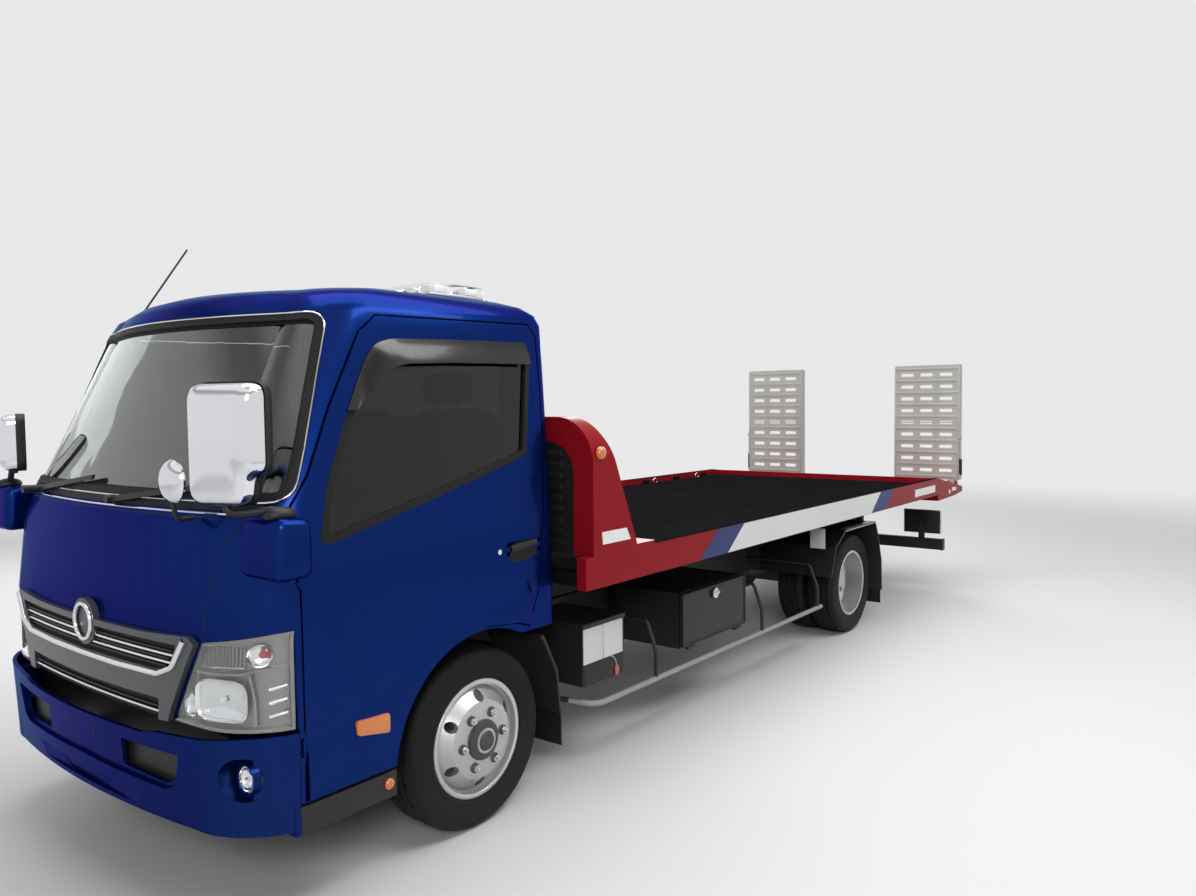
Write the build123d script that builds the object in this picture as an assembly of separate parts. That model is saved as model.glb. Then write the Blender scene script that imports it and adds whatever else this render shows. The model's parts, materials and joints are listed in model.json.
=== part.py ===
from build123d import *
import os
from math import cos, hypot, radians, sin, sqrt

os.makedirs("parts", exist_ok=True)

# A light flatbed tow truck, in millimetres.
# +X is forward, +Y is the driver's left, +Z is up, and Z 0 is the ground.
# The origin is at the bottom centre of the whole truck's box.

# Whole truck
LENGTH = 7300
FRONT_OVERHANG = 1150
WHEELBASE = 3870
HALF_WIDTH = 1150
HEIGHT = 2500
FA = LENGTH / 2 - FRONT_OVERHANG
RA = FA - WHEELBASE
TAIL = -LENGTH / 2

# Fits
PIN_FIT = 0.3
SEAT_FIT = 0.3
DOOR_GAP = 7
MOVE_GAP = 6

# Wheels
TYRE_R = 367
TYRE_W = 205
RIM_R = 235
RIM_WALL = 12
FRONT_TYRE_Y = 850
WHEEL_OFFSET = 118
REAR_TYRE_Y = (FRONT_TYRE_Y, FRONT_TYRE_Y - 2 * WHEEL_OFFSET)
SPINDLE_R = 30
DISC_T = 14
VENT_HOLES = 6
VENT_R = 176
VENT_HOLE_R = 22

# Chassis
RAIL_OUT_Y = 425
RAIL_FLANGE = 70
RAIL_WALL = 8
RAIL_Z = (500, 680)
RAIL_FRONT_X = FA + 700
RAIL_REAR_X = TAIL + 770
CROSS_X = (FA + 640, FA - 1010, RA + 1990, RA + 910, RA + 420, RA - 430, TAIL + 850)
CROSS_Z = (560, 640)
KINGPIN_Y = 735
KINGPIN_R = 18
STEER_EYE_R = 34
BEAM_Z = (TYRE_R - 45, TYRE_R + 35)
SPRING_Y = RAIL_OUT_Y - 40

# Cab
CAB_WALL = 32
CAB_FLOOR_Z = (800, 840)
CAB_LOW_Z = 415
CAB_FRONT_LOW_Z = 668
CAB_BACK_LOW_Z = 762
BUMPER_Z = (330, 655)
BUMPER_T = 14
DOOR_HINGE = (836, 990)
DOOR_PIN_R = 3.5
DOOR_KNUCKLE_R = 7.5
DOOR_HINGE_Z = (600, 1180)
DOOR_HINGE_H = 50
CAB_PIVOT = (860, 750)
CAB_PIN_R = 14
CAB_LUG_R = 32
CAB_LUG_Y = (RAIL_OUT_Y - 47, RAIL_OUT_Y - 27)
ARCH_C = (5, 362)
ARCH_R = 456
ARCH_IN_Y = 600
TUNNEL_Y = 330
TUNNEL_Z = 1060
TUNNEL_X = 640
GLASS_T = 6
GLASS_IN = 10
GLASS_LAP = 9
DOOR_T = 34

# Tray
TRAY_X = (FA - 490, TAIL + 810)
TRAY_HALF = HALF_WIDTH - 30
RAIL_SIDE_T = 50
SIDE_RAIL_Z = (902, 1045)
DECK_Z = (985, 1000)
BAY_X = -1100
BAY_STEP = 3
RUNNER_Y = (RAIL_OUT_Y - 55, RAIL_OUT_Y + 25)
RUNNER_Z = (806, 902)
TAIL_END_X = TAIL + 110
TILT_PIVOT = (TAIL + 820, 640)
TILT_PIN_R = 24
TILT_RAIL_Z = (700, 800)
TILT_CROSS_Z = (704, 738)
SLIDE_Z = 780
SLIDE_BARREL_R = 36
SLIDE_ROD_R = 22

# Lift cylinders
LIFT_Y = RAIL_OUT_Y - 175
LIFT_EYE_HALF = 30
LIFT_PIN_R = 15
LIFT_EYE_R = 28
LIFT_LOW = (RA + 1920, 560)
LIFT_TOP = (RA + 1120, 730)
LIFT_BARREL_R = 45
LIFT_ROD_R = 25
LIFT_BARREL_L = 590

# Winch
DRUM_C = (-900, 1115)
DRUM_R = 55
DRUM_FLANGE_R = 88
DRUM_HALF = 150
DRUM_SHAFT_R = 18

# Ramps
RAMP_Y = (484, TRAY_HALF - 40)
RAMP_Z = (976, 2040)
RAMP_PIN = (TAIL + 65, 945)
RAMP_PIN_R = 11
RAMP_ROWS = 9
RAMP_COLUMNS = 3

# Grille, as half widths and heights on the cab's front face
GRILLE_FRAME = ((0, 955), (150, 953), (430, 955), (680, 968), (722, 948), (640, 815), (580, 705), (565, 668),
                (509, 664), (515, 738), (0, 732))
GRILLE_SLOT = ((0, 928), (626, 934), (578, 850), (500, 836), (0, 832))
GRILLE_LIP = ((676, 957), (606, 856), (520, 824), (260, 819))
GRILLE_BARS = ((893, 604), (866, 586))
GRILLE_LOW_BAR = (689, 513)
GRILLE_PROUD = 20
WALL_SLOTS = (
    ((0, 922), (610, 928), (562, 850), (484, 836), (0, 832)),
    ((0, 722), (495, 722), (495, 676), (0, 676)),
)
BOSS_Z = 934
BOSS_R = 74

# Bumper, as half widths and heights of its top edge, its recess and the openings in it
BUMPER_EDGE = ((0, 618), (455, 620), (520, 634), (760, 646), (900, 655), (1100, 655))
BUMPER_RECESS = ((0, 588), (655, 584), (618, 462), (560, 440), (0, 452))
BUMPER_SLOT = ((300, 470), (556, 456), (604, 476), (634, 566), (300, 566))
RECESS_DEPTH = 12
FOG_C = (892, 520)
FOG_R = 46
FOG_RECESS_R = 72
FOG_FLOOR_X = FA + 978

# Headboard
HOOP_X = (FA - 546, FA - 1022)
HOOP_Z = 1660
HOOP_BAND = 112
HOOP_CORNER_R = 210
HOOP_FOOT_Z = 1062


def block(x, y, z):
    return Pos((x[0] + x[1]) / 2, (y[0] + y[1]) / 2, (z[0] + z[1]) / 2) * Box(
        abs(x[1] - x[0]), abs(y[1] - y[0]), abs(z[1] - z[0]))


def outline(points, radius=0):
    if radius:
        return make_face(FilletPolyline(*points, radius=radius, close=True))
    return make_face(Polyline(*points, close=True))


def prism_y(points, y, radius=0, grow=0):
    # Points are (x, z); the profile runs from y[0] to y[1].
    lo, hi = min(y), max(y)
    face = outline([(px, pz) for px, pz in points], radius)
    if grow:
        face = offset(face, amount=grow, kind=Kind.INTERSECTION)
    solid = extrude(face, amount=hi - lo)
    return Pos(0, hi, 0) * (Rot(90, 0, 0) * solid)


def prism_x(points, x, radius=0, grow=0):
    # Points are (y, z); the profile runs from x[0] to x[1].
    lo, hi = min(x), max(x)
    face = outline(points, radius)
    if grow:
        face = offset(face, amount=grow, kind=Kind.INTERSECTION)
    solid = extrude(face, amount=hi - lo)
    return Pos(lo, 0, 0) * (Rot(0, 0, 90) * (Rot(90, 0, 0) * solid))


def rod(p, q, r):
    a, b = Vector(*p), Vector(*q)
    plane = Plane(origin=a, z_dir=b - a)
    return plane * Cylinder(r, (b - a).length, align=(Align.CENTER, Align.CENTER, Align.MIN))


def pipe(points, r, bend=None):
    path = FilletPolyline(*points, radius=bend or 2.5 * r)
    return sweep(Plane(origin=path @ 0, z_dir=path % 0) * Circle(r), path)


def disc_y(x, z, y, r):
    lo, hi = min(y), max(y)
    return rod((x, lo, z), (x, hi, z), r)


def mirrored(half):
    # A whole outline from its right half, given from the middle round to the middle
    return list(half) + [(-y, z) for y, z in reversed(half) if y]


def mirror_y(shape):
    return mirror(shape, about=Plane.XZ)


def both(shape):
    return [shape, mirror_y(shape)]


NODES = {}


def node(name, *shapes):
    solids = []
    for shape in shapes:
        for s in (shape if isinstance(shape, (list, tuple)) else [shape]):
            solids += s.solids()
    NODES[name] = Compound(label=name, children=solids)


# Cab sections: height, back x, side y, corner start x, corner middle, face edge, front centre x
CAB_LEVELS = (
    (CAB_LOW_Z, -465, 992, 845, (963, 910), (1038, 745), 1076),
    (950, -465, 992, 845, (963, 910), (1038, 745), 1076),
    (1250, -465, 988, 822, (935, 905), (1002, 725), 1048),
    (1400, -474, 970, 800, (885, 886), (958, 690), 1022),
    (2060, -510, 900, 470, (575, 826), (640, 640), 772),
    (2105, -500, 880, 445, (550, 807), (615, 622), 750),
    (2140, -465, 834, 395, (500, 760), (565, 585), 706),
    (2166, -405, 748, 315, (415, 672), (480, 510), 625),
    (2180, -320, 620, 225, (320, 545), (380, 410), 520),
)
CAB_CORNER_R = 80


def level_at(z):
    low, high = next((a, b) for a, b in zip(CAB_LEVELS, CAB_LEVELS[1:]) if z <= b[0])
    share = (z - low[0]) / (high[0] - low[0])
    edge_x = low[5][0] + share * (high[5][0] - low[5][0])
    edge_y = low[5][1] + share * (high[5][1] - low[5][1])
    return (edge_x, edge_y), low[6] + share * (high[6] - low[6])


def face_x(y, z):
    # How far forward the cab's front face lies at a width and a height
    (ex, ey), front = level_at(z)
    rise = front - ex
    radius = (rise * rise + ey * ey) / (2 * rise)
    return FA + front - radius + sqrt(radius * radius - y * y)


def face_pipe(points, r, proud=0, bend=None):
    return pipe([(face_x(y, z) + proud, y, z) for y, z in points], r, bend)


def face_bar(half, z, r, proud=0):
    # A round bar across the front face, bent to the face's curve
    ends = [(face_x(half, z) + proud, side * half, z) for side in (-1, 1)]
    path = ThreePointArc(ends[0], (face_x(0, z) + proud, 0, z), ends[1])
    return sweep(Plane(origin=path @ 0, z_dir=path % 0) * Circle(r), path)


def cab_section(level, inset):
    z, back, side, start, mid, edge, front = level
    r = CAB_CORNER_R - inset * 0.6
    lift = inset if z > 2100 else (inset * 0.3 if z > 2000 else 0)
    z = z - lift
    x0, y0 = FA + back + inset, side - inset
    mid = (FA + mid[0] - inset * 0.72, mid[1] - inset * 0.69)
    edge = (FA + edge[0] - inset * 0.96, edge[1] - inset * 0.28)
    front = FA + front - inset
    start = FA + start - inset * 0.3
    k = r * (1 - cos(radians(45)))
    edges = [
        Line((x0, -y0 + r, z), (x0, y0 - r, z)),
        ThreePointArc((x0, y0 - r, z), (x0 + k, y0 - k, z), (x0 + r, y0, z)),
        Line((x0 + r, y0, z), (start, y0, z)),
        ThreePointArc((start, y0, z), (*mid, z), (*edge, z)),
        ThreePointArc((*edge, z), (front, 0, z), (edge[0], -edge[1], z)),
        ThreePointArc((edge[0], -edge[1], z), (mid[0], -mid[1], z), (start, -y0, z)),
        Line((start, -y0, z), (x0 + r, -y0, z)),
        ThreePointArc((x0 + r, -y0, z), (x0 + k, -y0 + k, z), (x0, -y0 + r, z)),
    ]
    return Wire(edges)


def cab_form(inset):
    return Solid.make_loft([cab_section(level, inset) for level in CAB_LEVELS], True)


# The door's outline and its window's, as (x, z) from the front axle
DOOR_OUTLINE = (
    (838, 418), (838, 1395), (775, 1490), (665, 1720), (520, 1985), (440, 2050),
    (-380, 2066), (-424, 2020), (-424, 1780), (-408, 1500), (-362, 1210), (-330, 930),
    (-266, 778), (-184, 806), (0, 828), (184, 806), (305, 751), (386, 654), (447, 532), (468, 418),
)
WINDOW_OUTLINE = (
    (742, 1262), (690, 1460), (600, 1660), (455, 1925), (-335, 1962), (-356, 1900),
    (-285, 1512), (264, 1372),
)
# The raised flare over the front wheel: its foot on the door, and its crest
FLARE_FOOT = (
    (850, 622), (742, 625), (440, 737), (192, 887), (-85, 1016), (-262, 1018), (-300, 950),
    (-300, 400), (850, 400),
)
FLARE_CREST = (
    (850, 572), (735, 575), (425, 690), (170, 838), (-95, 962), (-236, 962), (-262, 920),
    (-262, 400), (850, 400),
)
FLARE_OUT = 14
SCREEN_OUTLINE = ((-925, 1425), (925, 1425), (895, 1600), (800, 2030), (-800, 2030), (-895, 1600))


def shift(points):
    return [(FA + x, z) for x, z in points]


def build_cab():
    full = cab_form(0)
    wall = cab_form(CAB_WALL)
    door_in = cab_form(DOOR_T)
    door_space = cab_form(DOOR_T + MOVE_GAP)
    glass_out = cab_form(GLASS_IN)
    glass_in = cab_form(GLASS_IN + GLASS_T)

    big = 1300
    x_all = (FA - 700, FA + 1200)
    shell = full
    # Underside: bumper space, engine space, floor pan, wheel arches
    shell -= block((FA + 852, FA + 1200), (-big, big), (300, CAB_FRONT_LOW_Z))
    shell -= block((FA - 700, FA - 90), (-big, big), (300, CAB_BACK_LOW_Z))
    shell -= wall & block(x_all, (-ARCH_IN_Y, ARCH_IN_Y), (300, CAB_FLOOR_Z[0]))
    shell -= wall & block((FA + 862, FA + 1200), (-big, big), (300, CAB_FLOOR_Z[0]))
    for side in (-1, 1):
        shell -= disc_y(FA + ARCH_C[0], ARCH_C[1], (side * ARCH_IN_Y, side * big), ARCH_R)
        shell -= block((FA + 492, FA + 812), (side * 700, side * big), (448, CAB_FLOOR_Z[1] + 10))
    # Cabin over the floor, with the engine tunnel left standing
    room = block(x_all, (-big, big), (CAB_FLOOR_Z[1], 2300))
    room -= block((FA - 700, FA + TUNNEL_X), (-TUNNEL_Y, TUNNEL_Y), (700, TUNNEL_Z))
    shell -= wall & room
    shell -= block((FA - 700, FA + TUNNEL_X - 30), (-TUNNEL_Y + 30, TUNNEL_Y - 30), (700, TUNNEL_Z - 30))
    # Hinge lugs under the floor
    px, pz = FA + CAB_PIVOT[0], CAB_PIVOT[1]
    for side in (-1, 1):
        y = (side * (CAB_LUG_Y[1] + MOVE_GAP), side * (CAB_LUG_Y[1] + MOVE_GAP + 14))
        lug = disc_y(px, pz, y, CAB_LUG_R)
        lug += block((px - CAB_LUG_R, px + CAB_LUG_R), y, (pz, CAB_FLOOR_Z[0] + 5))
        lug -= disc_y(px, pz, (side * 300, side * 500), CAB_PIN_R + PIN_FIT)
        shell += lug

    # Headlamps fill their openings
    lamp_shape = ((733, 952), (569, CAB_FRONT_LOW_Z - 10), (1010, CAB_FRONT_LOW_Z - 10), (1010, 995))
    lamp_in = cab_form(CAB_WALL - 1)
    lamp = (full & prism_x(lamp_shape, (FA + 856, FA + 1200))) - lamp_in
    lamp -= block((FA + 800, FA + 1200), (0, big), (300, CAB_FRONT_LOW_Z))
    lamps = both(lamp)
    for s in (-1, 1):
        cut = prism_x([(s * y, z) for y, z in lamp_shape], (FA + 856, FA + 1200)) - lamp_in
        shell -= cut

    # Air openings behind the grille's two slots
    for half in WALL_SLOTS:
        shell -= prism_x(mirrored(half), (FA + 1000, FA + 1200))

    # Windscreen and rear window
    screen_cut = prism_x(SCREEN_OUTLINE, (FA + 350, FA + 1200), radius=45)
    screen = (glass_out & prism_x(SCREEN_OUTLINE, (FA + 350, FA + 1200), radius=45, grow=GLASS_LAP)) - glass_in
    shell -= screen_cut
    shell -= screen
    back_x, back_y, back_z = (FA - 700, FA - 300), 640, (1480, 1900)
    back_cut = block(back_x, (-back_y, back_y), back_z)
    lap = GLASS_LAP
    back_glass = glass_out & block(back_x, (-back_y - lap, back_y + lap), (back_z[0] - lap, back_z[1] + lap))
    back_glass -= glass_in
    shell -= back_cut
    shell -= back_glass

    # Doors
    opening = prism_y(shift(DOOR_OUTLINE), (500, big))
    leaf_shape = prism_y(shift(DOOR_OUTLINE), (500, big), grow=-DOOR_GAP)
    window = prism_y(shift(WINDOW_OUTLINE), (500, big), radius=28)
    window_lap = prism_y(shift(WINDOW_OUTLINE), (500, big), radius=28, grow=GLASS_LAP)
    leaf = (full & leaf_shape) - door_in
    glass = (glass_out & window_lap) - glass_in
    leaf = leaf - window - glass
    side_y = CAB_LEVELS[0][2]
    rings = [Wire(Polyline(*[(x, y, z) for x, z in shift(points)], close=True).edges())
             for points, y in ((FLARE_FOOT, side_y - 8), (FLARE_CREST, side_y + FLARE_OUT))]
    leaf += Solid.make_loft(rings, True) & leaf_shape
    # Recess for the handle, with the pull across it
    hx = (FA - 345, FA - 135)
    leaf -= block(hx, (974, big), (1092, 1150))
    leaf += block((hx[0], hx[1]), (974, 992), (1112, 1132))
    # Hinges: a pin held by the cab in a pocket, and the door's knuckle round it
    ax, ay = FA + DOOR_HINGE[0], DOOR_HINGE[1]
    pins = []
    for z in DOOR_HINGE_Z:
        z0, z1 = z - DOOR_HINGE_H / 2, z + DOOR_HINGE_H / 2
        leaf += rod((ax, ay, z0), (ax, ay, z1), DOOR_KNUCKLE_R)
        leaf += block((ax - 30, ax - 2), (ay - DOOR_KNUCKLE_R, ay - 1), (z0, z1))
        leaf -= rod((ax, ay, z0 - 5), (ax, ay, z1 + 5), DOOR_PIN_R + PIN_FIT)
        pocket = rod((ax, ay, z0 - MOVE_GAP), (ax, ay, z1 + MOVE_GAP), DOOR_KNUCKLE_R + MOVE_GAP)
        pin = rod((ax, ay, z0 - 30), (ax, ay, z1 + 30), DOOR_PIN_R)
        for a, b in ((z0 - 30, z0 - MOVE_GAP), (z1 + MOVE_GAP, z1 + 30)):
            pin += block((ax - 3, ax + 12), (ay - 16, ay - 2), (a, b))
        pins.append((pocket, pin))
    for s in (1, -1):
        shell -= (opening if s == 1 else mirror_y(opening)) - door_space
        for pocket, pin in pins:
            shell -= pocket if s == 1 else mirror_y(pocket)
            shell += pin if s == 1 else mirror_y(pin)
    node("cab_shell", max(shell.solids(), key=lambda q: q.volume))
    node("headlamps", lamps)
    node("windscreen", screen)
    node("rear_window", back_glass)
    node("door_left", max(leaf.solids(), key=lambda q: q.volume))
    node("door_glass_left", glass)
    node("door_right", mirror_y(max(leaf.solids(), key=lambda q: q.volume)))
    node("door_glass_right", mirror_y(glass))


def build_cab_fittings():
    # Grille: a frame on the front face with a round boss, its slots open through the cab's wall
    skin = cab_form(0)
    reach = (FA + 900, FA + 1200)
    boss_x = face_x(0, BOSS_Z)
    grille = (cab_form(-GRILLE_PROUD) & prism_x(mirrored(GRILLE_FRAME), reach)) - skin
    grille -= prism_x(mirrored(GRILLE_SLOT), reach)
    boss = rod((boss_x - 4, 0, BOSS_Z), (boss_x + GRILLE_PROUD, 0, BOSS_Z), BOSS_R + 12)
    recess = rod((boss_x + GRILLE_PROUD - 6, 0, BOSS_Z), (boss_x + 80, 0, BOSS_Z), BOSS_R)
    node("grille", grille + (boss - skin) - recess)

    # Bright trim: the lip under the upper slot, the bars, the ring and dished disc on the boss
    lip = [(-y, z) for y, z in GRILLE_LIP] + [(0, GRILLE_LIP[-1][1])] + list(reversed(GRILLE_LIP))
    trim = face_pipe(lip, 11, GRILLE_PROUD + 4, 60)
    for z, half in GRILLE_BARS:
        trim += face_bar(half, z, 5, GRILLE_PROUD / 2)
    floor_x = boss_x + GRILLE_PROUD - 6 + SEAT_FIT
    ring = Pos(floor_x + 8, 0, BOSS_Z) * (Rot(0, 90, 0) * Torus(BOSS_R - 9, 8))
    disc = rod((floor_x, 0, BOSS_Z), (floor_x + 5, 0, BOSS_Z), BOSS_R - 4)
    dome = Pos(floor_x - 70, 0, BOSS_Z) * Sphere(84)
    dome &= rod((floor_x, 0, BOSS_Z), (floor_x + 60, 0, BOSS_Z), BOSS_R - 24)
    low_bar = face_bar(GRILLE_LOW_BAR[1], GRILLE_LOW_BAR[0], 5, GRILLE_PROUD / 2)
    # The trim stands a little off the grille, so that their curved faces never meet
    seat = Pos(0.7, 0, 0) * grille
    ring_seat = rod((boss_x - 4, 0, BOSS_Z), (boss_x + 80, 0, BOSS_Z), BOSS_R + 12.7)
    trim = trim - grille - seat - ring_seat - skin
    node("grille_trim", trim, ring + disc + dome, low_bar - grille - seat - skin)

    # Mirrors on pods at the front corners
    def mirror_set(side, head_h, head_w, head_c, arm):
        foot = [(FA + 880, 1180), (FA + 1010, 1190), (FA + 1022, 1330), (FA + 985, 1385), (FA + 890, 1375)]
        pod = prism_y(foot, (side * 930, side * HALF_WIDTH), radius=18) - skin
        hx, hy, hz = head_c
        y0, y1 = side * (hy - head_w / 2), side * (hy + head_w / 2)
        z0, z1 = hz - head_h / 2, hz + head_h / 2
        head = prism_x([(y0, z0), (y1, z0), (y1, z1), (y0, z1)], (FA + hx - 35, FA + hx + 45), radius=45)
        arm_pipe = pipe([(FA + x, side * y, z) for x, y, z in arm], 13)
        return (pod + head + arm_pipe).solids()

    left_arm = ((960, 1085, 1370), (985, 1082, 1405), (1090, 1000, 1405), (1090, 1000, 1500))
    right_arm = ((950, 1060, 1370), (950, 1050, 1420), (950, 1020, 1500))
    node("mirror_left", mirror_set(1, 360, 200, (1105, 990, 1605), left_arm))
    node("mirror_right", mirror_set(-1, 250, 190, (960, 1010, 1575), right_arm))

    disc = rod((FA + 1080, 665, 1480), (FA + 1115, 665, 1480), 72)
    stay = pipe([(FA + 940, 630, 1335), (FA + 1085, 660, 1350), (FA + 1090, 665, 1480)], 9)
    node("front_mirror", (disc + stay) - skin)

    # Wipers: a pivot through the scuttle, an arm and a blade lying just off the glass
    off = cab_form(-24)
    off_in = cab_form(-12)
    wipers = []
    for y0, reach in ((-620, 560), (130, 560)):
        pivot = rod((FA + 930, y0, 1385), (FA + 1058, y0, 1392), 16)
        sweep_line = [(y0 - 12, 1378), (y0 + reach, 1452), (y0 + reach, 1470), (y0 - 12, 1400)]
        band = prism_x(sweep_line, (FA + 860, FA + 1100))
        wipers.append((pivot - skin) + ((off & band) - off_in))
    node("wipers", wipers)

    # Light bar and antenna on the roof
    roof = cab_form(0)
    bar = block((FA - 430, FA - 100), (-600, 600), (2192, 2250))
    bar = fillet(bar.edges().filter_by(Axis.Y), 18)
    feet = [block((FA - 330, FA - 200), (s * 500 - 30, s * 500 + 30), (2130, 2195)) - roof for s in (-1, 1)]
    node("light_bar", bar + feet[0] + feet[1])
    base = rod((FA + 480, -800, 2080), (FA + 470, -800, 2160), 16) - roof
    node("antenna", base + rod((FA + 472, -800, 2140), (FA + 225, -800, HEIGHT - 3), 4.5))

    # Seats, dashboard and steering wheel
    seats = []
    for y, w in ((520, 480), (-150, 330), (-600, 480)):
        y0 = (y - w / 2, y + w / 2)
        low = (TUNNEL_Z if abs(y) < 200 else CAB_FLOOR_Z[1]) + SEAT_FIT
        if abs(y) < 200:
            base = block((FA - 250, FA + 180), y0, (low, 1140))
        else:
            side = 1 if y > 0 else -1
            edge = (max(abs(y) - w / 2, TUNNEL_Y + 6), min(abs(y) + w / 2, 900))
            base = block((FA - 250, FA + 190), (side * edge[0], side * edge[1]), (low, 1140))
        back = prism_y([(FA - 270, 1090), (FA - 150, 1090), (FA - 230, 1660), (FA - 320, 1660)], y0, radius=20)
        seats.append(base + back)
    node("seats", seats)
    dash_in = cab_form(CAB_WALL + 1)
    dash = [(580, TUNNEL_Z + 10), (600, 1150), (760, 1270), (1100, 1330), (1100, 870), (TUNNEL_X + 12, 870),
            (TUNNEL_X + 12, TUNNEL_Z + 10)]
    dash = dash_in & prism_y(shift(dash), (-850, 850))
    node("dashboard", dash)
    wheel_c = (FA + 400, 520, 1250)
    tilt = Rot(0, -55, 0)
    wheel = Pos(*wheel_c) * tilt * (Torus(190, 15) + Cylinder(45, 26) + Box(380, 34, 12) + Box(34, 380, 12))
    d = (sin(radians(55)), 0, -cos(radians(55)))
    column = rod(wheel_c, (wheel_c[0] + d[0] * 260, 520, wheel_c[2] + d[2] * 260), 26)
    node("steering_wheel", (wheel + column) - dash)


def build_chassis():
    # Ladder frame: two channels and their cross members
    x0, x1 = RAIL_REAR_X, RAIL_FRONT_X
    z0, z1 = RAIL_Z
    frame = None
    for s in (1, -1):
        y_out, y_in, t = s * RAIL_OUT_Y, s * (RAIL_OUT_Y - RAIL_FLANGE), RAIL_WALL
        profile = [(y_out, z0), (y_out, z1), (y_in, z1), (y_in, z1 - t), (y_out - s * t, z1 - t),
                   (y_out - s * t, z0 + t), (y_in, z0 + t), (y_in, z0)]
        rail = prism_x(profile, (x0, x1))
        frame = rail if frame is None else frame + rail
    web = RAIL_OUT_Y - RAIL_WALL
    for x in CROSS_X:
        member = block((x - 35, x + 35), (-web, web), CROSS_Z)
        member -= block((x - 25, x + 45), (-web, web), (CROSS_Z[0] + 10, CROSS_Z[1] - 10))
        frame += member
    # Cab hinge brackets with their pins
    px, pz = FA + CAB_PIVOT[0], CAB_PIVOT[1]
    for s in (1, -1):
        y = (s * CAB_LUG_Y[0], s * CAB_LUG_Y[1])
        frame += prism_y([(FA + 610, 520), (FA + 740, 520), (px + CAB_LUG_R, pz - 40), (px + CAB_LUG_R, pz),
                          (px - CAB_LUG_R, pz), (FA + 740, 672), (FA + 610, 672)], y)
        frame += disc_y(px, pz, y, CAB_LUG_R)
        frame += disc_y(px, pz, (s * CAB_LUG_Y[0], s * (CAB_LUG_Y[1] + MOVE_GAP + 22)), CAB_PIN_R)
    # Tilt pivots at the rear
    tx, tz = TILT_PIVOT
    for s in (1, -1):
        frame += disc_y(tx, tz, (s * (RAIL_OUT_Y - 2), s * (RAIL_OUT_Y + 34)), TILT_PIN_R)
    # Lower mounts of the lift cylinders
    lx, lz = LIFT_LOW
    plate = [(lx + 75, CROSS_Z[0]), (lx + 75, CROSS_Z[1]), (lx + 10, lz + 26), (lx - 26, lz + 20),
             (lx - 26, lz - 20), (lx + 10, lz - 26)]
    for s in (1, -1):
        for k in (-1, 1):
            y = sorted((s * LIFT_Y + k * (LIFT_EYE_HALF + SEAT_FIT), s * LIFT_Y + k * (LIFT_EYE_HALF + 12)))
            frame += prism_y(plate, y)
        half = LIFT_EYE_HALF + 12
        frame += disc_y(lx, lz, (s * LIFT_Y - half, s * LIFT_Y + half), LIFT_PIN_R)
    node("chassis_frame", frame)


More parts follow.
